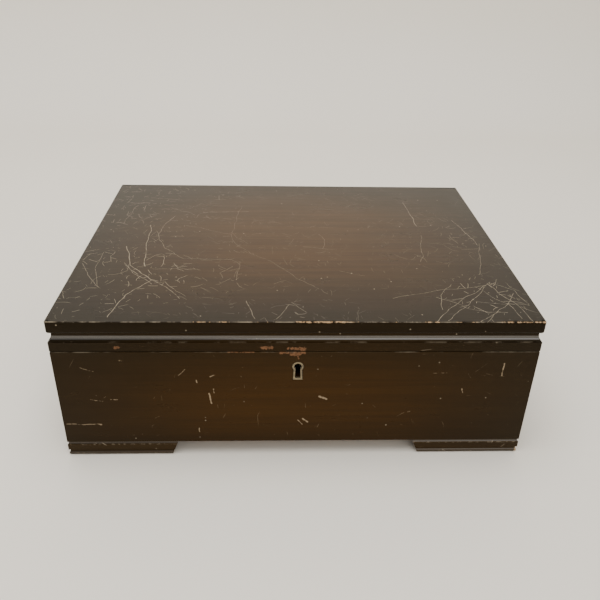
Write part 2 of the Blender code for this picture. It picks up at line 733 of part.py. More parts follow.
def build_lock(boards, rails):
    face = -CASE_DEPTH / 2
    back = -INSIDE_Y - LOCK_BEHIND
    front = back - LOCK_THICKNESS
    top = SEAM - 0.4 * MM
    bottom = top - LOCK_HEIGHT
    half = LOCK_WIDTH / 2
    pocket = box(
        "pocket",
        (-half - GAP, front - GAP, bottom - GAP),
        (half + GAP, -INSIDE_Y + MM, SEAM + MM),
    )
    cut(
        boards["front"],
        pocket,
        keyhole_prism("hole", ESCUTCHEON_RIM + GAP, face - MM, face + ESCUTCHEON_DEPTH + GAP),
        keyhole_prism("way", 0.2 * MM, face - MM, front + MM),
    )
    ring = prism(
        "keyhole_escutcheon",
        keyhole(ESCUTCHEON_RIM),
        ESCUTCHEON_DEPTH,
        AGED_BRASS,
        holes=(keyhole(),),
    )
    face_front(ring, face + ESCUTCHEON_DEPTH / 2)

    # The lid's tongue drops into the lock, and the bolt slides through the hole in the tongue.
    bolt_y, bolt_z = (front + back) / 2, SEAM - 7.4 * MM
    bolt_half_y, bolt_half_z = LOCK_THICKNESS * 0.12, 1.6 * MM
    tongue_x, tongue_half = 6 * MM, 1 * MM
    play = 0.5 * MM
    tongue_half_y = LOCK_THICKNESS * 0.3
    keeper_half_y = LOCK_THICKNESS * 0.42
    eye_half_y = LOCK_THICKNESS * 0.187
    bolt_start = -8 * MM
    bolt_end = tongue_x - tongue_half - play - 1 * MM
    lock = box("lock_case", (-half, front, bottom), (half, back, top), STEEL)
    tongue_bottom = bolt_z - bolt_half_z - play - 1.4 * MM
    chamber = box(
        "chamber",
        (bolt_start - play, bolt_y - tongue_half_y - 0.4 * MM, tongue_bottom - 0.4 * MM),
        (bolt_end + BOLT_TRAVEL + play, bolt_y + tongue_half_y + 0.4 * MM, top + MM),
    )
    cut(lock, chamber, keyhole_prism("way", 0.0, front - MM, back + MM))
    box(
        "lock_bolt",
        (bolt_start, bolt_y - bolt_half_y, bolt_z - bolt_half_z),
        (bolt_end, bolt_y + bolt_half_y, bolt_z + bolt_half_z),
        STEEL,
    )
    plate_bottom = RIM_BOTTOM + 0.2 * MM
    plate = 1.2 * MM
    keeper = box(
        "lock_keeper",
        (-14 * MM, bolt_y - keeper_half_y, plate_bottom),
        (18 * MM, bolt_y + keeper_half_y, plate_bottom + plate),
        STEEL,
    )
    tongue = box(
        "tongue",
        (tongue_x - tongue_half, bolt_y - tongue_half_y, tongue_bottom),
        (tongue_x + tongue_half, bolt_y + tongue_half_y, plate_bottom + plate / 2),
    )
    eye = box(
        "eye",
        (tongue_x - 2 * tongue_half, bolt_y - eye_half_y, bolt_z - bolt_half_z - play),
        (tongue_x + 2 * tongue_half, bolt_y + eye_half_y, bolt_z + bolt_half_z + play),
    )
    join(keeper, tongue)
    cut(keeper, eye)
    cut(
        rails["front"],
        box(
            "pocket",
            (-14 * MM - GAP, bolt_y - keeper_half_y - GAP, RIM_BOTTOM - MM),
            (18 * MM + GAP, MM - INSIDE_Y, plate_bottom + plate + GAP),
        ),
    )


# ---- Bed, disc, comb and star wheels -------------------------------------------------------------
def bar_frame(height=0.0):
    """From a frame whose +X runs out along the pressure bar to the row: its origin is on the spindle."""
    return Matrix.Translation((DISC_X, 0, height)) @ Matrix.Rotation(BAR_ANGLE, 4, "Z")


def build_bed():
    front, rear = -45 * MM, INSIDE_Y - 6 * MM
    left, right = DISC_X - 82 * MM, PLATE_INNER_X - 5.5 * MM
    corner = 14 * MM
    outline = [
        (left + corner, front),
        (right, front),
        (right, rear),
        (left + corner, rear),
        (left, rear - corner),
        (left, front + corner),
    ]
    window = rectangle((left + 24 * MM, front + 16 * MM), (DISC_X - 20 * MM, 40 * MM))
    bed = prism("bedplate", outline, BEDPLATE, IRON, holes=(window,))
    transform(bed, Matrix.Translation((0, 0, BEDPLATE_TOP - BEDPLATE / 2)))
    bearer_top = BEDPLATE_TOP - BEDPLATE - GAP
    for name, y in (("front", front + BEARER_WIDTH / 2), ("rear", rear - BEARER_WIDTH / 2)):
        box(
            f"bedplate_bearer_{name}",
            (left + corner, y - BEARER_WIDTH / 2, FLOOR + GAP),
            (right, y + BEARER_WIDTH / 2, bearer_top),
            BARE_WOOD,
        )
    neck_low, neck_high = BAR_BOTTOM - 0.5 * MM, BAR_BOTTOM + BAR_THICKNESS + 0.4 * MM
    spindle = turned(
        "centre_spindle",
        [
            (0, neck_high + 4 * MM),
            (1.6 * MM, neck_high + 4 * MM),
            (SPINDLE_RADIUS, neck_high + 2.2 * MM),
            (SPINDLE_RADIUS, neck_high),
            (SPINDLE_NECK, neck_high),
            (SPINDLE_NECK, neck_low),
            (SPINDLE_RADIUS, neck_low),
            (SPINDLE_RADIUS, DISC_BOTTOM - GAP),
            (12 * MM, DISC_BOTTOM - GAP),
            (12 * MM, DISC_BOTTOM - 2.5 * MM),
            (6 * MM, DISC_BOTTOM - 5 * MM),
            (6 * MM, BEDPLATE_TOP + 3 * MM),
            (11 * MM, BEDPLATE_TOP + 3 * MM),
            (11 * MM, BEDPLATE_TOP + GAP),
            (0, BEDPLATE_TOP + GAP),
        ],
        NICKEL,
        16,
    )
    place(spindle, (DISC_X, 0, 0))


def build_disc():
    """The steel tune disc: a ring of drive holes near its rim, and a hole for the spindle."""
    half_width = DISC_HOLE_WIDTH / 2
    half_length = DISC_HOLE_LENGTH / 2
    holes = [circle(SPINDLE_RADIUS + GAP, sides=16)]
    for i in range(DISC_HOLES):
        turn = Matrix.Rotation(2 * math.pi * i / DISC_HOLES, 2)
        corners = rectangle(
            (DISC_HOLE_CIRCLE - half_width, -half_length),
            (DISC_HOLE_CIRCLE + half_width, half_length),
        )
        holes.append([tuple(turn @ Vector(corner)) for corner in corners])
    disc = prism(
        "tune_disc", circle(DISC_RADIUS, sides=80), DISC_THICKNESS, DISC_STEEL, holes=holes
    )
    place(disc, (DISC_X, 0, DISC_BOTTOM + DISC_THICKNESS / 2))


def star(tip, root, points):
    """A star wheel's outline."""
    outline = []
    for i in range(points):
        for radius, step in ((tip, 0.0), (root, 0.5)):
            angle = 2 * math.pi * (i + step) / points
            outline.append((radius * math.cos(angle), radius * math.sin(angle)))
    return outline


def build_star_wheels():
    """Star wheels in a row on one sleeve, carried by a bracket at each end."""
    row = STAR_PITCH * (STAR_COUNT - 1)
    centre = STAR_START + row / 2
    sleeve_half = row / 2 + 2.5 * MM
    wheels = turned(
        "star_wheels",
        [
            (0, sleeve_half + 3 * MM),
            (PIVOT_RADIUS, sleeve_half + 3 * MM),
            (PIVOT_RADIUS, sleeve_half),
            (2.6 * MM, sleeve_half),
            (2.6 * MM, -sleeve_half),
            (PIVOT_RADIUS, -sleeve_half),
            (PIVOT_RADIUS, -sleeve_half - 3 * MM),
            (0, -sleeve_half - 3 * MM),
        ],
        BRASS,
        8,
    )
    first = prism("star", star(STAR_TIP, STAR_ROOT, STAR_POINTS), STAR_THICKNESS, None)
    transform(first, Matrix.Translation((0, 0, -row / 2)))
    array = first.modifiers.new("Row", "ARRAY")
    array.count = STAR_COUNT
    array.use_relative_offset = False
    array.use_constant_offset = True
    array.constant_offset_displace = (0, 0, STAR_PITCH)
    apply_modifiers(first)
    join(wheels, first)
    wheels.matrix_world = bar_frame(STAR_Z) @ Matrix.Translation((centre, 0, 0)) @ ALONG_X

    # An upright bracket on the bedplate carries each end.
    bearing = 2 * MM
    foot_top = BEDPLATE_TOP + 3 * MM
    for name, end in (("inner", -1), ("outer", 1)):
        low = min(end * (sleeve_half + GAP), end * (sleeve_half + GAP + bearing))
        upright = prism(
            f"star_bracket_{name}",
            [
                (-5 * MM, BEDPLATE_TOP + GAP),
                (5 * MM, BEDPLATE_TOP + GAP),
                (4 * MM, STAR_Z + 3 * MM),
                (-4 * MM, STAR_Z + 3 * MM),
            ],
            bearing,
            BRASS,
            holes=(circle(PIVOT_RADIUS + GAP, (0, STAR_Z), 12),),
        )
        transform(upright, Matrix.Translation((low + bearing / 2, 0, 0)) @ ALONG_X)
        foot_end = low + bearing / 2 + end * 8 * MM
        foot = box(
            "foot",
            (min(foot_end, low + bearing / 2), -5 * MM, BEDPLATE_TOP + GAP),
            (max(foot_end, low + bearing / 2), 5 * MM, foot_top),
        )
        join(upright, foot)
        upright.matrix_world = bar_frame() @ Matrix.Translation((centre, 0, 0))


def comb_outline():
    """The steel comb from above: long bass teeth near the spindle, short treble teeth at the rim."""
    start = STAR_START - STAR_PITCH / 2
    tip = STAR_TIP + 0.5 * MM
    outline = [(start, COMB_BACK)]
    for i in range(COMB_TEETH):
        share = i / (COMB_TEETH - 1)
        root = COMB_BASS_ROOT + (COMB_TREBLE_ROOT - COMB_BASS_ROOT) * share
        left = start + i * COMB_PITCH
        right = left + COMB_PITCH - COMB_SLOT
        tooth = [(left, root), (left, tip), (right, tip), (right, root)]
        outline += tooth[(i == 0) : 4 - (i == COMB_TEETH - 1)]
    outline.append((right, COMB_BACK))
    return outline


def build_comb():
    comb = prism("comb", comb_outline(), COMB_THICKNESS, STEEL)
    comb.matrix_world = bar_frame(STAR_Z)
    start = STAR_START - STAR_PITCH / 2
    width = COMB_PITCH * COMB_TEETH - COMB_SLOT
    base = box(
        "comb_base",
        (start, COMB_BASS_ROOT + 2 * MM, BEDPLATE_TOP + GAP),
        (start + width, COMB_BACK, STAR_Z - COMB_THICKNESS / 2 - GAP),
        IRON,
    )
    base.matrix_world = bar_frame()


# ---- Pressure bar ------------------------------------------------------------------------------
def build_pressure_bar():
    """The bar swings aside on its post. Its hook catches under the spindle's head."""
    half = BAR_WIDTH / 2
    slot = SPINDLE_NECK + 0.5 * MM
    outline = [
        (-half, -half),
        (BAR_LENGTH, -half),
        *[
            (BAR_LENGTH + half * math.cos(a), half * math.sin(a))
            for a in (math.radians(d) for d in range(-60, 61, 30))
        ],
        (BAR_LENGTH, half),
        (slot, half),
        *[
            (slot * math.cos(a), slot * math.sin(a))
            for a in (math.radians(-d) for d in range(0, 181, 30))
        ],
        (-slot, half),
        (-half, half),
    ]
    window_half = ROLLER_LENGTH / 2 + 0.5 * MM
    window_side = ROLLER_RADIUS + 0.5 * MM
    windows = [
        rectangle((u - window_half, -window_side), (u + window_half, window_side))
        for u in ROLLER_PLACES
    ]
    post_hole = circle(3 * MM + GAP, (BAR_LENGTH, 0), 16)
    bar = prism("pressure_bar", outline, BAR_THICKNESS, NICKEL, holes=(*windows, post_hole))
    axis_z = DISC_TOP + GAP + ROLLER_RADIUS
    pin_reach = window_half + 4 * MM
    for u in ROLLER_PLACES:
        pin = arbor("pin", [(ROLLER_PIN, pin_reach, -pin_reach)], None, 12)
        rise = axis_z - BAR_BOTTOM - BAR_THICKNESS / 2
        join(bar, transform(pin, Matrix.Translation((u, 0, rise)) @ ALONG_X))
    grip_top = BAR_THICKNESS / 2 + 7 * MM
    grip = turned(
        "grip",
        [
            (0, grip_top),
            (2.6 * MM, grip_top),
            (3.6 * MM, grip_top - MM),
            (3.6 * MM, grip_top - 3 * MM),
            (1.8 * MM, grip_top - 4.4 * MM),
            (1.8 * MM, 0),
            (0, 0),
        ],
        None,
        16,
    )
    transform(grip, Matrix.Translation((20 * MM, 0, 0)))
    join(bar, grip)
    # The bar turns on its post, so its origin moves there.
    transform(bar, Matrix.Translation((-BAR_LENGTH, 0, 0)))
    post_frame = bar_frame() @ Matrix.Translation((BAR_LENGTH, 0, 0))
    bar.matrix_world = post_frame @ Matrix.Translation((0, 0, BAR_BOTTOM + BAR_THICKNESS / 2))

    bore, end = ROLLER_PIN + GAP, ROLLER_LENGTH / 2
    for name, u in zip(("inner", "outer"), ROLLER_PLACES):
        roller = turned(
            f"pressure_roller_{name}",
            [
                (ROLLER_RADIUS - 0.6 * MM, end),
                (ROLLER_RADIUS, end - 0.8 * MM),
                (ROLLER_RADIUS, 0.8 * MM - end),
                (ROLLER_RADIUS - 0.6 * MM, -end),
                (bore, -end),
                (bore, end),
            ],
            BRASS,
            20,
            bore=True,
        )
        roller.matrix_world = bar_frame(axis_z) @ Matrix.Translation((u, 0, 0)) @ ALONG_X

    bar_top = BAR_BOTTOM + BAR_THICKNESS
    post = turned(
        "pressure_bar_post",
        [
            (0, bar_top + 3.6 * MM),
            (4.6 * MM, bar_top + 3.6 * MM),
            (5.6 * MM, bar_top + 2.8 * MM),
            (5.6 * MM, bar_top + GAP),
            (3 * MM, bar_top + GAP),
            (3 * MM, BAR_BOTTOM - GAP),
            (5 * MM, BAR_BOTTOM - GAP),
            (5 * MM, BEDPLATE_TOP + 4 * MM),
            (8 * MM, BEDPLATE_TOP + 4 * MM),
            (8 * MM, BEDPLATE_TOP + GAP),
            (0, BEDPLATE_TOP + GAP),
        ],
        NICKEL,
        16,
    )
    post_x, post_y = BAR_LENGTH * math.cos(BAR_ANGLE), BAR_LENGTH * math.sin(BAR_ANGLE)
    place(post, (DISC_X + post_x, post_y, 0))


# ---- Gears -------------------------------------------------------------------------------------
def involute(base, radius):
    """The angle that an involute has turned through where it reaches radius."""
    if radius <= base:
        return 0.0
    roll = math.sqrt((radius / base) ** 2 - 1)
    return roll - math.atan(roll)


def gear_outline(module, teeth, backlash, addendum=0.9, dedendum=1.3, flank_points=3):
    """A spur gear's outline with 20 degree involute teeth. A tooth's centre lies on local +X."""
    pitch = module * teeth / 2
    base = pitch * math.cos(math.radians(20))
    tip = pitch + addendum * module
    root = pitch - dedendum * module
    half_tooth = math.pi / (2 * teeth) - backlash / (2 * pitch)
    at_pitch = involute(base, pitch)
    low = max(root, min(base, pitch - 0.6 * module))
    flank = []
    for i in range(flank_points):
        radius = low + (tip - low) * i / (flank_points - 1)
        flank.append((radius, half_tooth + at_pitch - involute(base, radius)))
    if low > root:
        flank.insert(0, (root, flank[0][1]))
    outline = []
    for i in range(teeth):
        centre = 2 * math.pi * i / teeth
        side = [(radius, centre - angle) for radius, angle in flank]
        side += [(radius, centre + angle) for radius, angle in reversed(flank)]
        outline += [(r * math.cos(a), r * math.sin(a)) for r, a in side]
    return outline


def arbor(name, steps, finish, facets=16):
    """A stepped shaft: (radius, from, to) lengths along local Z, from the top down."""
    profile = [(0, steps[0][1])]
    for radius, high, low in steps:
        profile += [(radius, high), (radius, low)]
    profile.append((0, steps[-1][2]))
    return turned(name, profile, finish, facets)


def build_barrel():
    """The spring barrel: a drum whose closed end carries the great wheel, with spring and cap."""
    axis = (0, BARREL_Y, BARREL_Z)
    mesh_angle = math.atan2(DRIVE_Z - BARREL_Z, DRIVE_Y - BARREL_Y)
    bore = ARBOR_RADIUS + GAP
    barrel = prism(
        "spring_barrel",
        gear_outline(GREAT_MODULE, GREAT_TEETH, 0.2 * MM, addendum=0.8, flank_points=2),
        GREAT_FACE,
        BRASS,
        holes=(circle(bore, sides=16),),
    )
    transform(
        barrel,
        Matrix.Translation((0, 0, GREAT_X + GREAT_FACE / 2)) @ Matrix.Rotation(mesh_angle, 4, "Z"),
    )
    web = GREAT_X + GREAT_FACE - MM
    floor = GREAT_X + GREAT_FACE + 1.5 * MM
    inside = BARREL_RADIUS - BARREL_WALL
    drum = turned(
        "drum",
        [
            (BARREL_RADIUS, BARREL_END_X),
            (BARREL_RADIUS, web),
            (bore, web),
            (bore, floor),
            (inside, floor),
            (inside, BARREL_END_X),
        ],
        None,
        32,
        bore=True,
    )
    join(barrel, drum)
    place(barrel, axis, along_x=True)

    cap_outer = BARREL_END_X - 0.5 * MM
    cap_thickness = 1.8 * MM
    cap = prism(
        "barrel_cap",
        circle(inside - GAP, sides=32),
        cap_thickness,
        BRASS,
        holes=(circle(bore, sides=16),),
    )
    place(cap, (cap_outer - cap_thickness / 2, BARREL_Y, BARREL_Z), along_x=True)

    start, end = bore + 1.2 * MM, inside - 2 * GAP - SPRING_STRIP
    facets = 14
    count = SPRING_TURNS * facets
    inner = []
    outer = []
    for i in range(count + 1):
        angle = 2 * math.pi * i / facets
        radius = start + (end - start) * i / count
        inner.append((radius * math.cos(angle), radius * math.sin(angle)))
        radius += SPRING_STRIP
        outer.append((radius * math.cos(angle), radius * math.sin(angle)))
    spring_low, spring_high = floor + 1.5 * MM, cap_outer - cap_thickness - 1.5 * MM
    spring = prism(
        "mainspring", outer + list(reversed(inner)), spring_high - spring_low, SPRING_STEEL
    )
    place(spring, ((spring_low + spring_high) / 2, BARREL_Y, BARREL_Z), along_x=True)


def build_winding(boards):
    """The winding arbor, its one-way coil clutch on the outer plate, and the socket in the wall."""
    square_half = ARBOR_SQUARE / 2
    shaft_end = PLATE_OUTER_X + PLATE + 14 * MM
    winder = arbor(
        "winding_arbor",
        [
            (ARBOR_RADIUS, shaft_end, PLATE_INNER_X + PLATE + GAP),
            (ARBOR_PIVOT, PLATE_INNER_X + PLATE + GAP, PLATE_INNER_X - MM),
        ],
        STEEL,
    )
    square = box(
        "square",
        (-square_half, -square_half, shaft_end - MM),
        (square_half, square_half, ARBOR_END_X),
    )
    join(winder, square)
    place(winder, (0, BARREL_Y, BARREL_Z), along_x=True)

    coil_radius = ARBOR_RADIUS + 1.2 * MM
    wire = 0.7 * MM
    coil_start = PLATE_OUTER_X + PLATE + 1.6 * MM
    turns, per_turn, pitch = 4, 10, 2.1 * MM
    curve = bpy.data.curves.new("winding_clutch_spring", "CURVE")
    curve.dimensions = "3D"
    curve.bevel_depth = wire
    curve.bevel_resolution = 1
    curve.use_fill_caps = True
    spline = curve.splines.new("POLY")
    points = [
        (
            coil_radius * math.cos(2 * math.pi * i / per_turn),
            coil_radius * math.sin(2 * math.pi * i / per_turn),
            coil_start + pitch * i / per_turn,
        )
        for i in range(turns * per_turn + 1)
    ]
    points.append((coil_radius, 9 * MM, coil_start + pitch * turns))
    spline.points.add(len(points) - 1)
    for point, place_at in zip(spline.points, points):
        point.co = (*place_at, 1)
    coil = bpy.data.objects.new("winding_clutch_spring", curve)
    PARTS.objects.link(coil)
    curve.materials.append(material(SPRING_STEEL))
    place(coil, (0, BARREL_Y, BARREL_Z), along_x=True)

    outer = SOCKET_RADIUS + SOCKET_WALL
    wall_in, wall_out = INSIDE_X, CASE_WIDTH / 2
    flange_in = wall_out - SOCKET_FLANGE_THICKNESS
    socket = turned(
        "winding_socket",
        [
            (SOCKET_FLANGE, wall_out),
            (SOCKET_FLANGE, flange_in),
            (outer, flange_in),
            (outer, wall_in),
            (SOCKET_RADIUS, wall_in),
            (SOCKET_RADIUS, wall_out),
        ],
        AGED_BRASS,
        bore=True,
    )
    place(socket, (0, BARREL_Y, BARREL_Z), along_x=True)
    hole = arbor(
        "hole",
        [
            (SOCKET_FLANGE + GAP, wall_out + MM, flange_in - GAP),
            (outer + GAP, flange_in - GAP, wall_in - MM),
        ],
        None,
        FACETS,
    )
    transform(hole, Matrix.Translation((0, BARREL_Y, BARREL_Z)) @ ALONG_X)
    cut(boards["right"], hole)


def sprocket_outline():
    """The pin wheel that turns the disc: tapered teeth on a round hub."""
    hub = SPROCKET_RADIUS - 2.3 * MM
    tip = SPROCKET_RADIUS + 1.9 * MM
    outline = []
    for i in range(SPROCKET_TEETH):
        centre = 2 * math.pi * i / SPROCKET_TEETH
        for radius, half in ((hub, -1.7 * MM), (tip, -0.9 * MM), (tip, 0.9 * MM), (hub, 1.7 * MM)):
            angle = centre + math.asin(half / radius)
            outline.append((radius * math.cos(angle), radius * math.sin(angle)))
        middle = centre + math.pi / SPROCKET_TEETH
        outline.append((hub * math.cos(middle), hub * math.sin(middle)))
    return outline


def build_drive():
    """The drive arbor: its pinion is turned by the barrel, and it carries sprocket and second wheel."""
    sprocket_half = SPROCKET_TOOTH / 2
    seat = DRIVE_SEAT
    shaft = arbor(
        "drive_arbor",
        [
            (PIVOT_RADIUS, PLATE_OUTER_X + PLATE + MM, PLATE_OUTER_X - GAP),
            (seat, PLATE_OUTER_X - GAP, SPROCKET_X + sprocket_half + 3 * MM),
            (
                SPROCKET_SEAT,
                SPROCKET_X + sprocket_half + 3 * MM,
                SPROCKET_X - sprocket_half - 1.5 * MM,
            ),
        ],
        STEEL,
    )
    pinion_angle = math.atan2(BARREL_Z - DRIVE_Z, BARREL_Y - DRIVE_Y)
    pinion_angle += math.pi / DRIVE_PINION_TEETH
    pinion = prism(
        "pinion",
        gear_outline(GREAT_MODULE, DRIVE_PINION_TEETH, 0.25 * MM),
        GREAT_FACE + 2 * MM,
        None,
    )
    transform(
        pinion,
        Matrix.Translation((0, 0, GREAT_X + GREAT_FACE / 2))
        @ Matrix.Rotation(pinion_angle, 4, "Z"),
    )
    join(shaft, pinion)
    place(shaft, (0, DRIVE_Y, DRIVE_Z), along_x=True)

    sprocket = prism(
        "drive_sprocket",
        sprocket_outline(),
        2 * sprocket_half,
        STEEL,
        holes=(circle(SPROCKET_SEAT + GAP, sides=16),),
    )
    # A sprocket tooth stands straight up in one of the disc's holes.
    place(sprocket, (SPROCKET_X, DRIVE_Y, DRIVE_Z), turn=math.pi / 2, along_x=True)

    second = prism(
        "second_wheel",
        gear_outline(SECOND_MODULE, SECOND_TEETH, 0.12 * MM, addendum=0.8, flank_points=2),
        WHEEL_FACE,
        BRASS,
        holes=(circle(seat + GAP, sides=16),),
    )
    place(second, (SECOND_X + WHEEL_FACE / 2, DRIVE_Y, DRIVE_Z), along_x=True)


def build_third():
    """The third arbor: its pinion meets the second wheel, and its worm wheel turns the fly's worm."""
    to_drive = math.atan2(DRIVE_Z - THIRD_Z, DRIVE_Y - THIRD_Y)
    second_tooth = 2 * math.pi / SECOND_TEETH
    # A second-wheel tooth lies on its own +Y, so this is how far the nearest one is off the mesh line.
    off = (to_drive + math.pi) % second_tooth
    if off > second_tooth / 2:
        off -= second_tooth
    pinion_angle = to_drive + math.pi / THIRD_PINION_TEETH
    pinion_angle += off * SECOND_TEETH / THIRD_PINION_TEETH
    seat = THIRD_SEAT
    shaft = arbor(
        "third_arbor",
        [
            (THIRD_PIVOT, PLATE_OUTER_X + PLATE + MM, PLATE_OUTER_X - GAP),
            (seat, PLATE_OUTER_X - GAP, PLATE_INNER_X + PLATE + GAP),
            (THIRD_PIVOT, PLATE_INNER_X + PLATE + GAP, PLATE_INNER_X - MM),
        ],
        STEEL,
        12,
    )
    pinion = prism(
        "pinion",
        gear_outline(SECOND_MODULE, THIRD_PINION_TEETH, 0.2 * MM),
        WHEEL_FACE + 2 * MM,
        None,
    )
    transform(
        pinion,
        Matrix.Translation((0, 0, SECOND_X + WHEEL_FACE / 2))
        @ Matrix.Rotation(pinion_angle, 4, "Z"),
    )
    join(shaft, pinion)
    place(shaft, (0, THIRD_Y, THIRD_Z), along_x=True)

    wheel = prism(
        "worm_wheel",
        gear_outline(WORM_MODULE, WORM_WHEEL_TEETH, 0.5 * MM, addendum=0.8, flank_points=2),
        WORM_WHEEL_FACE,
        BRASS,
        holes=(circle(seat + GAP, sides=12),),
    )
    # The teeth lean by the worm's lead angle, and a gap faces the worm.
    slope = WORM_LEAD / (2 * math.pi * WORM_RADIUS) / WORM_WHEEL_RADIUS
    for vert in wheel.data.vertices:
        vert.co = Matrix.Rotation(slope * vert.co.z, 3, "Z") @ vert.co
    gap_to_worm = math.pi + math.pi / WORM_WHEEL_TEETH
    place(wheel, (WORM_X, THIRD_Y, THIRD_Z), turn=gap_to_worm, along_x=True)


def worm_thread():
    """One helical rib, swept by hand round the fly arbor because its ends must close."""
    shape = bmesh.new()
    per_turn = 12
    half_root, half_tip = 0.5 * MM, 0.22 * MM
    root, tip = WORM_RADIUS - 1.1 * MM, WORM_RADIUS + 0.55 * MM
    section = ((root, -half_root), (tip, -half_tip), (tip, half_tip), (root, half_root))
    rings = []
    steps = WORM_TURNS * per_turn
    for i in range(steps + 1):
        turn = 2 * math.pi * (i - steps / 2) / per_turn
        angle = math.pi / 2 + turn
        rise = THIRD_Z + WORM_LEAD * turn / (2 * math.pi)
        rings.append(
            [
                shape.verts.new((r * math.cos(angle), r * math.sin(angle), rise + dz))
                for r, dz in section
            ]
        )
    for first, second in zip(rings, rings[1:]):
        for i in range(4):
            j = (i + 1) % 4
            shape.faces.new((first[i], first[j], second[j], second[i]))
    shape.faces.new(rings[0])
    shape.faces.new(rings[-1])
    bmesh.ops.recalc_face_normals(shape, faces=shape.faces)
    mesh = bpy.data.meshes.new("thread")
    shape.to_mesh(mesh)
    shape.free()
    return add_object("thread", mesh, None)


def build_governor():
    """The endless screw with its brake collar, the fly on top, and the bracket that holds them."""
    core = WORM_RADIUS - 0.8 * MM
    worm_half = WORM_LEAD * (WORM_TURNS / 2 + 0.8)
    low_arm_top = BRACKET_LOW + BRACKET_ARM
    top_arm_low = BRACKET_TOP - BRACKET_ARM
    thin = 1.1 * MM
    shaft = arbor(
        "fly_arbor",
        [
            (thin, BRACKET_TOP - 0.2 * MM, top_arm_low - GAP),
            (FLY_SEAT, top_arm_low - GAP, BRAKE_BOTTOM + BRAKE_HEIGHT),
            (BRAKE_RADIUS, BRAKE_BOTTOM + BRAKE_HEIGHT, BRAKE_BOTTOM),
            (FLY_SEAT, BRAKE_BOTTOM, THIRD_Z + worm_half),
            (core, THIRD_Z + worm_half, THIRD_Z - worm_half),
            (FLY_SEAT, THIRD_Z - worm_half, low_arm_top + GAP),
            (thin, low_arm_top + GAP, BRACKET_LOW + 0.2 * MM),
        ],
        STEEL,
    )
    join(shaft, worm_thread())
    place(shaft, (WORM_X, FLY_Y, 0))

    hub = 3 * MM
    blade = 0.5 * MM
    step = math.sqrt(hub**2 - blade**2)
    vane = [
        (step, -blade),
        (FLY_RADIUS, -blade),
        (FLY_RADIUS, blade),
        (step, blade),
        *[(hub * math.cos(a), hub * math.sin(a)) for a in map(math.radians, range(30, 160, 30))],
        (-step, blade),
        (-FLY_RADIUS, blade),
        (-FLY_RADIUS, -blade),
        (-step, -blade),
        *[(hub * math.cos(a), hub * math.sin(a)) for a in map(math.radians, range(210, 340, 30))],
    ]
    fan = prism("fly_fan", vane, FLY_HEIGHT, BRASS, holes=(circle(FLY_SEAT + GAP, sides=12),))
    place(fan, (WORM_X, FLY_Y, FLY_BOTTOM + FLY_HEIGHT / 2))

    back = PLATE_INNER_X + PLATE + GAP
    reach = WORM_X + 4 * MM
    bracket = prism(
        "governor_bracket",
        [
            (back, BRACKET_LOW - 6 * MM),
            (back + 2 * MM, BRACKET_LOW - 6 * MM),
            (back + 2 * MM, BRACKET_LOW),
            (reach, BRACKET_LOW),
            (reach, low_arm_top),
            (back + 2 * MM, low_arm_top),
            (back + 2 * MM, top_arm_low),
            (reach, top_arm_low),
            (reach, BRACKET_TOP),
            (back, BRACKET_TOP),
        ],
        BRACKET_WIDTH,
        BRASS,
    )
    transform(bracket, Matrix.Translation((0, FLY_Y, 0)) @ Matrix.Rotation(math.pi / 2, 4, "X"))
    bore = arbor("bore", [(thin + GAP, BRACKET_TOP + MM, BRACKET_LOW - MM)], None, 12)
    transform(bore, Matrix.Translation((WORM_X, FLY_Y, 0)))
    cut(bracket, bore)


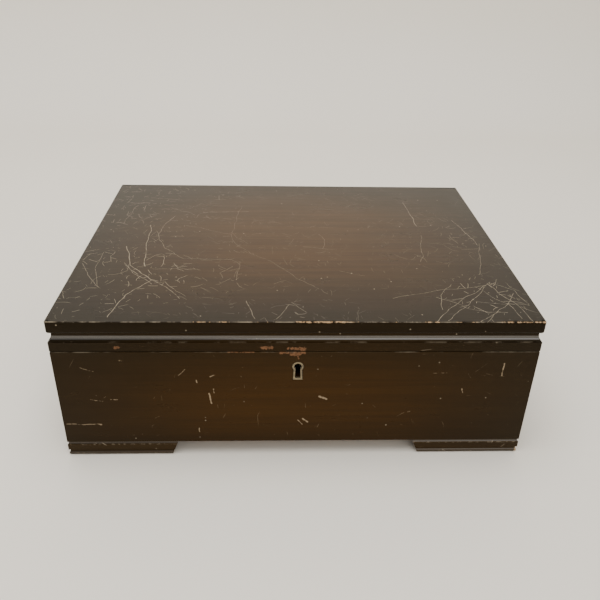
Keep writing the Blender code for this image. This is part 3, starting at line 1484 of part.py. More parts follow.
def build_frame_plates():
    """Two plates on flanged feet, joined by pillars, which carry every arbor."""
    bottom = FLOOR + GAP
    # (y, z, radius) of each hole, by plate
    holes = {
        "inner": (
            (DRIVE_Y, DRIVE_Z, DRIVE_SEAT),
            (BARREL_Y, BARREL_Z, ARBOR_PIVOT),
            (THIRD_Y, THIRD_Z, THIRD_PIVOT),
        ),
        "outer": (
            (DRIVE_Y, DRIVE_Z, PIVOT_RADIUS),
            (BARREL_Y, BARREL_Z, ARBOR_RADIUS),
            (THIRD_Y, THIRD_Z, THIRD_PIVOT),
        ),
    }
    pillars = {
        "front": (PLATE_FRONT + 7 * MM, PLATE_TOP - 22 * MM),
        "rear": (PLATE_REAR - 6 * MM, PLATE_TOP - 16.5 * MM),
    }
    outline = [
        (PLATE_FRONT, bottom),
        (PLATE_REAR, bottom),
        (PLATE_REAR, PLATE_TOP - 14 * MM),
        (PLATE_REAR - 14 * MM, PLATE_TOP),
        (PLATE_FRONT, PLATE_TOP),
    ]
    for name, x in (("inner", PLATE_INNER_X), ("outer", PLATE_OUTER_X)):
        loops = [circle(radius + GAP, (y, z), 16) for y, z, radius in holes[name]]
        loops += [circle(PILLAR_PIVOT + GAP, pillar, 12) for pillar in pillars.values()]
        plate = prism(f"motor_plate_{name}", outline, PLATE, BRASS, holes=loops)
        transform(plate, Matrix.Translation((x + PLATE / 2, 0, 0)) @ ALONG_X)
        foot = box(
            "foot",
            (x + PLATE / 2, PLATE_FRONT, bottom),
            (x + PLATE_FOOT, PLATE_REAR, bottom + PLATE),
        )
        join(plate, foot)
        if name == "outer":
            # A shelf bent inwards along the top carries the start lever's pivot.
            shelf = box(
                "shelf",
                (LEVER_X - 5 * MM, PLATE_FRONT, PLATE_TOP - PLATE),
                (PLATE_OUTER_X + MM, LEVER_Y + 5 * MM, PLATE_TOP),
            )
            hole = arbor("hole", [(LEVER_PIVOT + GAP, PLATE_TOP + MM, LEVER_BOTTOM)], None, 12)
            transform(hole, Matrix.Translation((LEVER_X, LEVER_Y, 0)))
            cut(shelf, hole)
            join(plate, shelf)
    inside_low, inside_high = PLATE_INNER_X + PLATE + GAP, PLATE_OUTER_X - GAP
    for name, (y, z) in pillars.items():
        pillar = arbor(
            f"motor_pillar_{name}",
            [
                (PILLAR_PIVOT, PLATE_OUTER_X + PLATE + 1.5 * MM, inside_high),
                (PILLAR_RADIUS, inside_high, inside_low),
                (PILLAR_PIVOT, inside_low, PLATE_INNER_X - 1.5 * MM),
            ],
            STEEL,
        )
        place(pillar, (0, y, z), along_x=True)


def build_start_lever():
    """A flat lever under the outer plate's shelf: its pad brakes the fly, its knob faces the front."""
    pad_y = FLY_Y - LEVER_Y - BRAKE_RADIUS - GAP
    pad_x = WORM_X - LEVER_X
    handle_y = -50 * MM
    outline = [
        (5 * MM, 3 * MM),
        (3 * MM, 5 * MM),
        (-4 * MM, 5 * MM),
        (pad_x + 5 * MM, pad_y - 2.5 * MM),
        (pad_x + 4 * MM, pad_y),
        (pad_x - 4 * MM, pad_y),
        (pad_x - 4 * MM, pad_y - 6 * MM),
        (pad_x + 4 * MM, pad_y - 6 * MM),
        (-6 * MM, -4 * MM),
        (-3 * MM, handle_y),
        (3 * MM, handle_y),
    ]
    lever = prism("start_lever", outline, LEVER_THICKNESS, NICKEL)
    shelf_top = PLATE_TOP - LEVER_BOTTOM - LEVER_THICKNESS / 2
    head_low = shelf_top + GAP
    pivot = arbor(
        "pivot",
        [(3 * MM, head_low + 1.2 * MM, head_low), (LEVER_PIVOT, head_low, 0)],
        None,
        12,
    )
    knob_top = 16 * MM
    knob = turned(
        "knob",
        [
            (0, knob_top),
            (2.4 * MM, knob_top),
            (4 * MM, knob_top - 1.5 * MM),
            (4 * MM, knob_top - 4.5 * MM),
            (2 * MM, knob_top - 6.5 * MM),
            (2 * MM, 0),
            (0, 0),
        ],
        None,
        16,
    )
    transform(knob, Matrix.Translation((0, handle_y + 5 * MM, 0)))
    join(lever, pivot, knob)
    place(lever, (LEVER_X, LEVER_Y, LEVER_BOTTOM + LEVER_THICKNESS / 2))


def build_crank():
    """The winding crank, lifted out of its socket and stored on the bottom board."""
    thickness = 5 * MM
    base = FLOOR + GAP + thickness / 2
    socket_height = 18 * MM
    square = ARBOR_SQUARE / 2 + GAP
    socket_radius = SOCKET_RADIUS - 0.4 * MM
    arm = prism(
        "crank_arm",
        [
            *circle_arc(7.5 * MM, 60, 300, (0, 0)),
            *circle_arc(5 * MM, -90, 90, (CRANK_LENGTH, 0)),
        ],
        thickness,
        NICKEL,
    )
    socket = turned(
        "socket",
        [(0, socket_height), (socket_radius, socket_height), (socket_radius, 0), (0, 0)],
        None,
        20,
    )
    hole = box("hole", (-square, -square, 6 * MM), (square, square, socket_height + MM))
    pin = arbor("pin", [(CRANK_PIN, 28 * MM, 0)], None, 12)
    transform(pin, Matrix.Translation((CRANK_LENGTH, 0, 0)))
    join(arm, socket, pin)
    cut(arm, hole)
    place(arm, (CRANK_X, CRANK_Y, base))
    handle = turned(
        "crank_handle",
        [
            (4.5 * MM, 26.5 * MM),
            (6.6 * MM, 23.5 * MM),
            (7 * MM, 19 * MM),
            (5.2 * MM, 11 * MM),
            (5 * MM, 7 * MM),
            (6 * MM, 3 * MM),
            (CRANK_PIN + GAP, 3 * MM),
            (CRANK_PIN + GAP, 26.5 * MM),
        ],
        KNOB_WOOD,
        16,
        bore=True,
    )
    place(handle, (CRANK_X + CRANK_LENGTH, CRANK_Y, base))


def circle_arc(radius, first, last, centre, step=30):
    """Points on an arc, in degrees."""
    return [
        (
            centre[0] + radius * math.cos(math.radians(a)),
            centre[1] + radius * math.sin(math.radians(a)),
        )
        for a in range(first, last + 1, step)
    ]


def gather_lid():
    """The lid's pieces turn with an empty on the hinge axis."""
    axis = bpy.data.objects.new("lid_axis", None)
    axis.empty_display_size = 20 * MM
    axis.location = (0, HINGE_Y, HINGE_Z)
    PARTS.objects.link(axis)
    bpy.context.view_layer.update()
    for obj in PARTS.objects:
        if obj.name.startswith("lid_") and obj is not axis or obj.name in LID_FITTINGS:
            obj.parent = axis
            obj.matrix_parent_inverse = axis.matrix_world.inverted()


clear_scene()
PARTS = new_collection("music_box")
case_boards = build_boards()
build_feet()
lid_rails = build_lid()
build_hinges(case_boards, lid_rails)
build_stay(case_boards, lid_rails)
build_lock(case_boards, lid_rails)
build_bed()
build_disc()
build_star_wheels()
build_comb()
build_pressure_bar()
build_barrel()
build_winding(case_boards)
build_drive()
build_third()
build_governor()
build_frame_plates()
build_start_lever()
build_crank()
gather_lid()
for part in PARTS.objects:
    if part.type == "MESH":
        shade(part)
    if part.parent is None:
        part.matrix_world = Matrix.Translation((0, -BEHIND / 2, 0)) @ part.matrix_world
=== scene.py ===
import json
import math

import bpy
import bmesh
from mathutils import Matrix, Vector, noise


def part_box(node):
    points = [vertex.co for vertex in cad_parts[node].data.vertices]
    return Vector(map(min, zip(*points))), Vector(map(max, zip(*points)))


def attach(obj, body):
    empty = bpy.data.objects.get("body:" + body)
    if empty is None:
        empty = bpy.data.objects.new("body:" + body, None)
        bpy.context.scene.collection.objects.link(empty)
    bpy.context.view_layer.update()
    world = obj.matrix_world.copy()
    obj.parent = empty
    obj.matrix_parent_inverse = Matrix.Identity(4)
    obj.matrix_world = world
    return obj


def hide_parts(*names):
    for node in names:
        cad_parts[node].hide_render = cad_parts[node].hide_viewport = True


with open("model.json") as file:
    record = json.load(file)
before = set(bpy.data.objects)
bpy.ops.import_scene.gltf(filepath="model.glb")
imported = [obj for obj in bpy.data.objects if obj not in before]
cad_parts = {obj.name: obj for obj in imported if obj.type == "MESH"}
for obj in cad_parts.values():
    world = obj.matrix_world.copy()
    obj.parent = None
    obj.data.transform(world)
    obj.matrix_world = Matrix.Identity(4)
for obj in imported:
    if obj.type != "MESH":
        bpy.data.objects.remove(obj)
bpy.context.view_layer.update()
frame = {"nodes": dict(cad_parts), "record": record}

mm = 0.001
joints = {joint["name"]: joint for joint in frame["record"]["behaviour"]["joints"]}
print("frame loaded:", len(frame["nodes"]), "nodes")


# a socket that sums like a number
class Flow:
    # wraps one socket of a node tree; an expression on it adds Math nodes
    def __init__(self, tree, socket=None):
        self.tree = tree
        self.socket = socket

    # any node: its type, its settings, then the values or links of its sockets
    def add(self, kind, settings=None, sockets=None, out=0):
        node = self.tree.nodes.new(kind)
        for key, value in (settings or {}).items():
            if key == "stops":
                fillRamp(node.color_ramp, value)
            else:
                setattr(node, key, value)
        for key, value in (sockets or {}).items():
            target = node.inputs[key]
            if isinstance(value, Flow):
                self.tree.links.new(value.socket, target)
            else:
                target.default_value = value
        return Flow(self.tree, node.outputs[out] if len(node.outputs) else None)

    def other(self, name):
        return Flow(self.tree, self.socket.node.outputs[name])

    def maths(self, operation, *values, clamp=False):
        settings = {"operation": operation, "use_clamp": clamp}
        return self.add("ShaderNodeMath", settings, dict(enumerate(values)))

    def vector(self, operation, *values, out=0):
        return self.add("ShaderNodeVectorMath", {"operation": operation}, dict(enumerate(values)), out)

    def __add__(self, other):
        return self.maths("ADD", self, other)

    def __mul__(self, other):
        return self.maths("MULTIPLY", self, other)

    def __sub__(self, other):
        return self.maths("SUBTRACT", self, other)

    def __truediv__(self, other):
        return self.maths("DIVIDE", self, other)

    def __rsub__(self, other):
        return self.maths("SUBTRACT", other, self)

    __radd__ = __add__
    __rmul__ = __mul__

    def __abs__(self):
        return self.maths("ABSOLUTE", self)

    def atLeast(self, other):
        return self.maths("MAXIMUM", self, other)

    # 0 at low and below, 1 at high and above, smooth between; low may be the larger one
    def step(self, low, high):
        sockets = {"Value": self, "From Min": low, "From Max": high}
        return self.add("ShaderNodeMapRange", {"interpolation_type": "SMOOTHSTEP"}, sockets)

    # this colour turned towards another one
    def tinted(self, colour, share, blend="MIX"):
        settings = {"data_type": "RGBA", "blend_type": blend}
        return self.add("ShaderNodeMix", settings, {0: share, 6: self, 7: colour}, 2)

    def parts(self):
        first = self.add("ShaderNodeSeparateXYZ", sockets={0: self})
        return first, first.other("Y"), first.other("Z")

    def join(self, x, y, z=0.0):
        return self.add("ShaderNodeCombineXYZ", sockets={0: x, 1: y, 2: z})

    # noise in cells per metre: one number, or one for each axis where the grain is stretched
    def grain(self, place, perMetre, detail=4, rough=0.55, warp=0.0):
        scale = perMetre if isinstance(perMetre, tuple) else (perMetre,) * 3
        stretched = self.vector("MULTIPLY", place, scale)
        sockets = {"Vector": stretched, "Scale": 1.0, "Detail": detail, "Roughness": rough,
                   "Distortion": warp}
        return self.add("ShaderNodeTexNoise", sockets=sockets)


def fillRamp(ramp, stops):
    while len(ramp.elements) < len(stops):
        ramp.elements.new(0.5)
    for element, (where, colour) in zip(ramp.elements, stops):
        element.position = where
        element.color = (*colour, 1)


# a node group that gives one mark
def newGroup(name, inputs):
    tree = bpy.data.node_groups.new(name, "ShaderNodeTree")
    for label, kind in inputs:
        tree.interface.new_socket(label, in_out="INPUT", socket_type=kind)
    tree.interface.new_socket("Mark", in_out="OUTPUT", socket_type="NodeSocketFloat")
    start = Flow(tree)
    source = start.add("NodeGroupInput")
    return tree, start, [source.other(label) for label, kind in inputs]


# one straight scratch from A to A + Run
def makeStroke():
    vector, number = "NodeSocketVector", "NodeSocketFloat"
    inputs = [("Place", vector), ("Start", vector), ("Run", vector), ("Width", number)]
    tree, flow, (place, start, run, width) = newGroup("oneScratch", inputs)
    away = flow.vector("SUBTRACT", place, start)
    along = flow.vector("DOT_PRODUCT", away, run, out=1)
    length = flow.vector("DOT_PRODUCT", run, run, out=1)
    share = flow.maths("DIVIDE", along, length, clamp=True)
    nearest = flow.add("ShaderNodeVectorMath", {"operation": "SCALE"}, {0: run, "Scale": share})
    gap = flow.vector("DISTANCE", away, nearest, out=1)
    flow.add("NodeGroupOutput", sockets={0: gap.step(width, width * 0.25)})
    return tree


# a field of short scratches, each turned its own way: one in each cell
def makeStrokes():
    vector, number = "NodeSocketVector", "NodeSocketFloat"
    inputs = [("Place", vector), ("Width", number), ("Length", number), ("Keep", number), ("Lean", number)]
    tree, flow, (place, width, length, keep, lean) = newGroup("scratchField", inputs)
    settings = {"voronoi_dimensions": "2D", "feature": "F1"}
    cell = flow.add("ShaderNodeTexVoronoi", settings, {"Vector": place, "Scale": 1.0, "Randomness": 1.0})
    turn, chance, reach = cell.other("Color").parts()
    x, y, z = flow.vector("SUBTRACT", place, cell.other("Position")).parts()
    angle = (turn - 0.5) * lean
    cosine, sine = flow.maths("COSINE", angle), flow.maths("SINE", angle)
    along = x * cosine + y * sine
    across = y * cosine - x * sine + along * along * (reach - 0.5)
    mark = abs(across).step(width, width * 0.3) * abs(along).step(length * reach, length * reach * 0.6)
    flow.add("NodeGroupOutput", sockets={0: mark * chance.step(keep, keep - 0.02)})
    return tree


oneScratch, scratchField = makeStroke(), makeStrokes()


def stroke(flow, place, start, end, width):
    run = tuple(b - a for a, b in zip(start, end))
    sockets = {"Place": place, "Start": tuple(start), "Run": run, "Width": width}
    return flow.add("ShaderNodeGroup", {"node_tree": oneScratch}, sockets)


def strokes(flow, place, size, width, length, keep, shift=0.0, lean=6.28):
    scaled = flow.vector("MULTIPLY_ADD", place, (1 / size,) * 3, (shift, shift * 1.7, 0))
    sockets = {"Place": scaled, "Width": width / size, "Length": length, "Keep": keep, "Lean": lean}
    return flow.add("ShaderNodeGroup", {"node_tree": scratchField}, sockets)


def newMaterial(name):
    made = bpy.data.materials.new(name)
    made.use_nodes = True
    made.node_tree.nodes.clear()
    flow = Flow(made.node_tree)
    return made, flow, flow.add("ShaderNodeTexCoord", out="Object")


def finishMaterial(flow, colour, rough, height, metallic=0.0, bump=1.0, extra=None):
    bumped = flow.add("ShaderNodeBump", sockets={"Height": height, "Distance": bump * mm, "Strength": 1.0})
    sockets = {"Base Color": colour, "Roughness": rough, "Metallic": metallic, "Normal": bumped}
    shader = flow.add("ShaderNodeBsdfPrincipled", sockets={**sockets, **(extra or {})})
    flow.add("ShaderNodeOutputMaterial", sockets={"Surface": shader})


lidLow, lidHigh = (Vector(corner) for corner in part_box("lid_panel"))
frontLow, frontHigh = (Vector(corner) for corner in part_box("front_board"))


# 1 on the outer faces of the case, and 0 a millimetre inside them
def outerSkin(x, y):
    sides = abs(x).step(lidHigh.x - 1.2 * mm, lidHigh.x - 0.4 * mm)
    front = (-1 * y).step(-lidLow.y - 1.2 * mm, -lidLow.y - 0.4 * mm)
    return sides.atLeast(front).atLeast(y.step(lidHigh.y - 1.2 * mm, lidHigh.y - 0.4 * mm))


# the dark lacquer, brown in the middle and black at the edges
lacquerLook = {
    "black": (0.0045, 0.0032, 0.0016),
    "brown": (0.032, 0.0122, 0.0012),
    "worn": (0.42, 0.35, 0.25),
    "raw": (0.19, 0.088, 0.044),
    "gloss": 0.3,
    "sheen": 0.035,  # how much clear coat the sides keep
    "topSheen": 0.035,
    "glow": (1.0, 0.66, 0.3),  # the tint of the finish under the coat
    "depth": 0.2,
    "coatIndex": 1.5,
}


# centre and reach say where the brown fades to black; marks adds this piece's own wear
def lacquer(name, centre, reach, marks=None, look=lacquerLook):
    made, flow, place = newMaterial(name)
    level = place.parts()[2]
    onTop = level.step(lidHigh.z - 1.0 * mm, lidHigh.z - 0.2 * mm)
    coat = onTop * (look["topSheen"] - look["sheen"]) + look["sheen"]
    for middle, half, sheen in look.get("glints", ()):  # ledges that keep their gloss
        coat = coat.atLeast(abs(level - middle * mm).step(half * mm, half * 0.7 * mm) * sheen)
    fine = flow.grain(place, (22, 900, 900), 5, 0.6)
    streak = flow.grain(place, (5, 150, 150), 3, 0.5, 0.4)
    cloud = flow.grain(place, 9, 2, 0.5)
    shaded = flow.vector("SUBTRACT", place, centre)
    spread = flow.vector("DIVIDE", shaded, reach)
    x, y, z = spread.parts()
    wander = (cloud - 0.5) * 0.5
    fade = 1.0
    for part in (x, y, z):
        fade = (abs(part) + wander * 0.4).step(1.05, 0.1) * fade
    brown = flow.add("ShaderNodeRGB")
    brown.socket.default_value = (*look["brown"], 1)
    colour = brown.tinted((*look["black"], 1), 1 - fade)
    vein = (streak.step(0.35, 0.65) * 0.55 + fine.step(0.3, 0.7) * 0.45) * 0.55
    colour = colour.tinted((0.35, 0.3, 0.26, 1), vein, "MULTIPLY")
    smear = flow.grain(place, (26, 40, 40), 4, 0.6, 0.6)
    rough = look["gloss"] + (smear - 0.5) * 0.16 + (fine - 0.5) * 0.06
    orange = flow.grain(place, 420, 2, 0.5)
    height = (fine - 0.5) * 0.022 + (orange - 0.5) * 0.012 + (streak - 0.5) * 0.02
    # pin-sized flecks of lost lacquer all over
    fleckCell = flow.add(
        "ShaderNodeTexVoronoi", {"feature": "F1"}, {"Vector": place, "Scale": 170.0, "Randomness": 1.0}
    )
    chance = fleckCell.other("Color").parts()[0]
    fleck = fleckCell.step(0.16, 0.05) * chance.step(0.93, 0.96)
    colour = colour.tinted((*look["worn"], 1), fleck * 0.55)
    if marks:
        colour, rough, height = marks(flow, place, (colour, rough, height), look)
    coat = coat - (rough - look["gloss"]).step(0.12, 0.35) * coat
    clear = {"Coat Weight": coat, "Coat Roughness": 0.17, "Coat IOR": look["coatIndex"],
             "Specular IOR Level": look["depth"], "Specular Tint": (*look["glow"], 1)}
    finishMaterial(flow, colour, rough, height, extra=clear)
    return made


# lays a mark over a finish of colour, roughness and height: lighter, duller and a little lower
def scarred(finish, mark, tone, strength, depth):
    colour, rough, height = finish
    return colour.tinted((*tone, 1), mark * strength), rough + mark * 0.25, height - mark * depth


lidMarks = {
    # share of the width from the left, share of the depth from the front; then width in mm and strength
    "lines": [
        ([(0.095, 0.45), (0.125, 0.32), (0.18, 0.23)], 0.42, 0.95),
        ([(0.133, 0.61), (0.143, 0.45), (0.155, 0.315)], 0.42, 0.9),
        ([(0.18, 0.23), (0.137, 0.14), (0.124, 0.02)], 0.42, 0.95),
        ([(0.18, 0.23), (0.22, 0.19), (0.25, 0.12)], 0.34, 0.75),
        ([(0.11, 0.33), (0.14, 0.27), (0.185, 0.205)], 0.36, 0.8),
        ([(0.17, 0.30), (0.235, 0.295), (0.26, 0.28)], 0.26, 0.5),
        ([(0.19, 0.21), (0.215, 0.215), (0.24, 0.165)], 0.3, 0.6),
        ([(0.22, 0.61), (0.34, 0.54), (0.365, 0.45), (0.485, 0.28), (0.545, 0.17)], 0.26, 0.42),
        ([(0.185, 0.69), (0.16, 0.55), (0.19, 0.43), (0.243, 0.36), (0.345, 0.36)], 0.3, 0.6),
        ([(0.345, 0.36), (0.37, 0.32), (0.36, 0.25)], 0.26, 0.4),
        ([(0.35, 0.31), (0.325, 0.27), (0.335, 0.24)], 0.26, 0.5),
        ([(0.37, 0.30), (0.365, 0.23)], 0.3, 0.6),
        ([(0.25, 0.72), (0.31, 0.735), (0.38, 0.74)], 0.3, 0.62),
        ([(0.36, 0.78), (0.355, 0.66), (0.34, 0.55), (0.39, 0.47)], 0.24, 0.35),
        ([(0.82, 0.84), (0.822, 0.72), (0.826, 0.61)], 0.34, 0.75),
        ([(0.824, 0.54), (0.81, 0.45), (0.796, 0.35)], 0.28, 0.5),
        ([(0.93, 0.675), (0.945, 0.56), (0.957, 0.475)], 0.36, 0.75),
        ([(0.964, 0.487), (0.945, 0.37), (0.923, 0.27)], 0.28, 0.5),
        ([(0.01, 0.325), (0.036, 0.25), (0.08, 0.18)], 0.32, 0.7),
        ([(0.05, 0.40), (0.045, 0.29), (0.075, 0.19)], 0.3, 0.6),
        ([(0.39, 0.11), (0.41, 0.016)], 0.32, 0.7),
        ([(0.455, 0.02), (0.475, 0.07), (0.48, 0.09)], 0.3, 0.65),
        ([(0.485, 0.10), (0.515, 0.05)], 0.3, 0.55),
        ([(0.70, 0.125), (0.80, 0.165), (0.92, 0.2)], 0.26, 0.65),
        ([(0.775, 0.005), (0.84, 0.10), (0.93, 0.215)], 0.28, 0.8),
        ([(0.80, 0.01), (0.86, 0.085), (0.915, 0.19)], 0.28, 0.85),
        ([(0.87, 0.0), (0.93, 0.075), (0.97, 0.15)], 0.28, 0.8),
        ([(0.975, 0.0), (0.955, 0.10), (0.925, 0.21)], 0.28, 0.85),
        ([(0.955, 0.015), (0.94, 0.09), (0.90, 0.185)], 0.28, 0.75),
        ([(0.985, 0.09), (0.975, 0.17), (0.93, 0.22)], 0.28, 0.75),
        ([(0.84, 0.20), (0.81, 0.14), (0.80, 0.06)], 0.26, 0.7),
        ([(0.80, 0.13), (0.85, 0.06), (0.93, 0.045)], 0.28, 0.75),
        ([(0.88, 0.1), (0.985, 0.085)], 0.26, 0.7),
        ([(0.56, 0.55), (0.575, 0.50), (0.565, 0.44)], 0.28, 0.45),
        ([(0.60, 0.28), (0.66, 0.25)], 0.24, 0.4),
        ([(0.52, 0.45), (0.60, 0.43)], 0.24, 0.4),
        ([(0.10, 0.86), (0.19, 0.84)], 0.3, 0.5),
        ([(0.075, 0.78), (0.06, 0.62)], 0.3, 0.5),
    ],
    # middle and radius of the tangles, as shares of the width and depth
    "tangles": [
        ((0.905, 0.13), (0.13, 0.2), 1.0), ((0.19, 0.26), (0.17, 0.28), 0.85),
        ((0.10, 0.78), (0.16, 0.3), 0.6), ((0.05, 0.12), (0.1, 0.2), 0.6),
        ((0.93, 0.55), (0.09, 0.24), 0.5), ((0.49, 0.05), (0.05, 0.08), 0.7),
    ],
    # along the front edge: from and to in mm, then size
    "chips": [
        (-2, 38, 1.15), (172, 209, 1.0), (-88, -74, 0.6), (-66, -58, 0.6), (40, 50, 0.7),
        (106, 118, 0.7), (-140, -120, 0.35), (66, 82, 0.45), (132, 150, 0.5), (-40, -26, 0.4),
    ],
}


# the marks near one zone of the lid, so that no finish holds too many
def markZone(zone):
    (lowX, highX), (lowY, highY) = zone
    margin = 6 * mm

    def spot(u, v):
        return (lidLow.x + u * (lidHigh.x - lidLow.x), lidLow.y + v * (lidHigh.y - lidLow.y), 0)

    near = []
    for points, width, strength in lidMarks["lines"]:
        for a, b in zip(points, points[1:]):
            a, b = spot(*a), spot(*b)
            if max(a[0], b[0]) < lowX - margin or min(a[0], b[0]) > highX + margin:
                continue
            if max(a[1], b[1]) < lowY - margin or min(a[1], b[1]) > highY + margin:
                continue
            near.append((a, b, width, strength))
    chips = [c for c in lidMarks["chips"] if c[1] * mm > lowX - margin and c[0] * mm < highX + margin]
    if lowY > lidLow.y:
        chips = []
    return lambda *given: markLid(near, chips, spot, *given)


def markLid(lines, chips, spot, flow, place, finish, look):
    x, y, z = place.parts()
    top = z.step(lidHigh.z - 1.2 * mm, lidHigh.z - 0.2 * mm)
    # a wobble, so that no scratch is ruled
    wobble = flow.grain(place, 30, 2).other("Color")
    moved = flow.vector("MULTIPLY_ADD", wobble, (0.012, 0.012, 0), place)
    placed = flow.vector("SUBTRACT", moved, (0.006, 0.006, 0))
    flatX, flatY, flatZ = placed.parts()
    flat = flow.join(flatX, flatY)

    scratch = x * 0.0
    for a, b, width, strength in lines:
        scratch = scratch.atLeast(stroke(flow, flat, a, b, width * mm) * strength)
    uneven = flow.grain(place, 260, 2).step(0.28, 0.6)
    scratch = scratch * (uneven * 0.75 + 0.25)
    # tangles: the random fields show where a tangle is, and thinly elsewhere
    dense = None
    for (u, v), (ru, rv), strength in lidMarks["tangles"]:
        centre = spot(u, v)
        reach = (ru * (lidHigh.x - lidLow.x), rv * (lidHigh.y - lidLow.y), 1)
        away = flow.vector("DIVIDE", flow.vector("SUBTRACT", flat, centre), reach)
        one = flow.vector("LENGTH", away, out=1).step(1.0, 0.2) * strength
        dense = one if dense is None else dense.atLeast(one)
    patch = flow.grain(place, 24, 2).step(0.42, 0.62)
    left = x.step(0.02, -0.2) * 0.45
    spread = dense.atLeast(patch * 0.25 + left * patch)
    field = strokes(flow, flat, 0.013, 0.26 * mm, 0.62, 0.75)
    field = field.atLeast(strokes(flow, flat, 0.021, 0.28 * mm, 0.6, 0.7, 3.3))
    field = field.atLeast(strokes(flow, flat, 0.008, 0.24 * mm, 0.55, 0.45, 7.1) * 0.8)
    scratch = scratch.atLeast(field * spread) * top
    finish = scarred(finish, scratch, look["worn"], 0.8, 0.05)
    # bare wood where the front arris is chipped
    ragged = flow.grain(place, 420, 3, 0.7)
    chip = x * 0.0
    for start, end, size in chips:
        first, last = ((where * mm, lidLow.y, lidHigh.z) for where in (start, end))
        chip = chip.atLeast(stroke(flow, place, first, last, size * 1.35 * mm))
    chip = (chip * ragged.step(0.4, 0.58)).step(0.1, 0.4)
    finish = scarred(finish, chip, (0.46, 0.29, 0.15), 0.85, 0.1)
    # a thin worn line right round the top arris
    edgeX = abs(x).step(lidHigh.x - 0.9 * mm, lidHigh.x - 0.2 * mm)
    edgeY = (-1 * y).step(-lidLow.y - 0.9 * mm, -lidLow.y - 0.2 * mm)
    edge = edgeX.atLeast(edgeY) * z.step(lidHigh.z - 0.9 * mm, lidHigh.z - 0.3 * mm)
    worn = edge * flow.grain(place, 55, 4, 0.7).step(0.42, 0.62)
    return scarred(finish, worn, look["worn"], 0.5, 0.02)


frontMarks = {
    # from and to, as x and z in mm, then width in mm and strength
    "nicks": [
        ((-78, 71), (-76, 60), 1.1, 1.0), ((-74, 76), (-73.5, 72), 0.7, 0.7),
        ((20, 67), (26, 64), 1.3, 0.9), ((6, 42), (10, 38), 1.2, 0.9), ((1, 40), (5, 35), 0.6, 0.7),
        ((181, 103), (181.5, 90), 0.8, 0.8), ((147, 75), (148, 71), 0.7, 0.7),
        ((-89, 86), (-88.5, 83), 0.8, 0.7), ((-88, 31), (-88, 27), 0.7, 0.6),
        ((-207, 37.5), (-179, 37), 0.5, 0.8), ((-179, 37.5), (-176, 36.5), 1.5, 0.9),
        ((-186, 100), (-176, 96), 0.4, 0.6), ((-104, 91), (-98, 98), 0.4, 0.5),
        ((96, 48), (104, 51), 0.35, 0.45), ((120, 93), (132, 92), 0.3, 0.4),
        ((-182, 64), (-172, 63), 0.45, 0.6), ((-165, 65), (-158, 65), 0.5, 0.6),
        ((-152, 107), (-150, 107), 0.9, 0.6), ((-76, 90), (-72, 92), 0.9, 0.5),
    ],
    "chips": [
        ((-15, 114.6), (5, 114.4), 2.2), ((-6, 113), (1, 112.4), 2.6), ((-1, 112), (0.5, 108.5), 1.1),
        ((-60, 115), (-38, 115), 0.9),
    ],
}


# the marks of one list together; each has two ends in mm, a width, and sometimes a strength
def markAll(flow, flat, marks):
    together = None
    for (startX, startY), (endX, endY), width, *strength in marks:
        ends = (startX * mm, startY * mm, 0), (endX * mm, endY * mm, 0)
        one = stroke(flow, flat, *ends, width * mm)
        if strength:
            one = one * strength[0]
        together = one if together is None else together.atLeast(one)
    return together


def markBoards(flow, place, finish, look):
    x, y, z = place.parts()
    outside = (-1 * y).step(-frontLow.y - 1.5 * mm, -frontLow.y - 0.3 * mm)
    wobble = flow.grain(place, 45, 2).other("Color")
    moved = flow.vector("MULTIPLY_ADD", wobble, (0.006,) * 3, place)
    flatX, flatY, flatZ = flow.vector("SUBTRACT", moved, (0.003,) * 3).parts()
    flat = flow.join(flatX, flatZ)
    nick = markAll(flow, flat, frontMarks["nicks"])
    sides = flow.join(flatX + flatY, flatZ)
    field = strokes(flow, sides, 0.011, 0.3 * mm, 0.34, 0.3)
    field = field.atLeast(strokes(flow, sides, 0.031, 0.28 * mm, 0.42, 0.25, 5.2))
    patch = flow.grain(place, 30, 2).step(0.42, 0.62)
    outer = outerSkin(x, y)
    uneven = flow.grain(place, 420, 3).step(0.3, 0.6)
    nick = (nick - (1 - uneven) * 0.75).step(0.0, 0.5) * outside
    scratch = nick.atLeast(field * patch * 0.45 * uneven * outer)
    finish = scarred(finish, scratch, (0.33, 0.25, 0.16), 0.7, 0.05)
    ragged = flow.grain(place, 500, 3, 0.7)
    chip = markAll(flow, flow.join(x, z), frontMarks["chips"])
    chip = (chip - ragged.step(0.66, 0.34)).step(0.0, 0.3) * outside
    bare = chip * (0.55 + uneven * 0.45)
    finish = scarred(finish, bare, look["raw"], 0.85, 0.12)
    # the top arris of the boards: a thin grey line, partly worn finish and partly a painted highlight where
    # the edge catches light
    arrisWearAndGlint = z.step(frontHigh.z - 0.6 * mm, frontHigh.z - 0.3 * mm)
    arrisWearAndGlint = arrisWearAndGlint * flow.grain(place, 34, 4, 0.75).step(0.42, 0.68) * outer
    return scarred(finish, arrisWearAndGlint, (0.26, 0.22, 0.16), 0.5, 0.02)


railMarks = {
    # from and to, as x and z in mm, then width in mm
    "chips": [
        ((-155, 119.5), (-152, 119.8), 2.2), ((-31, 119.4), (-23, 119.8), 2.6),
        ((-8, 118.6), (5, 118.2), 2.8),
    ],
    # the notch: painted shade, near black, for the shadowed gap above the seam
    "notch": [((-9, 116.3), (1, 116.0), 2.0)],
}


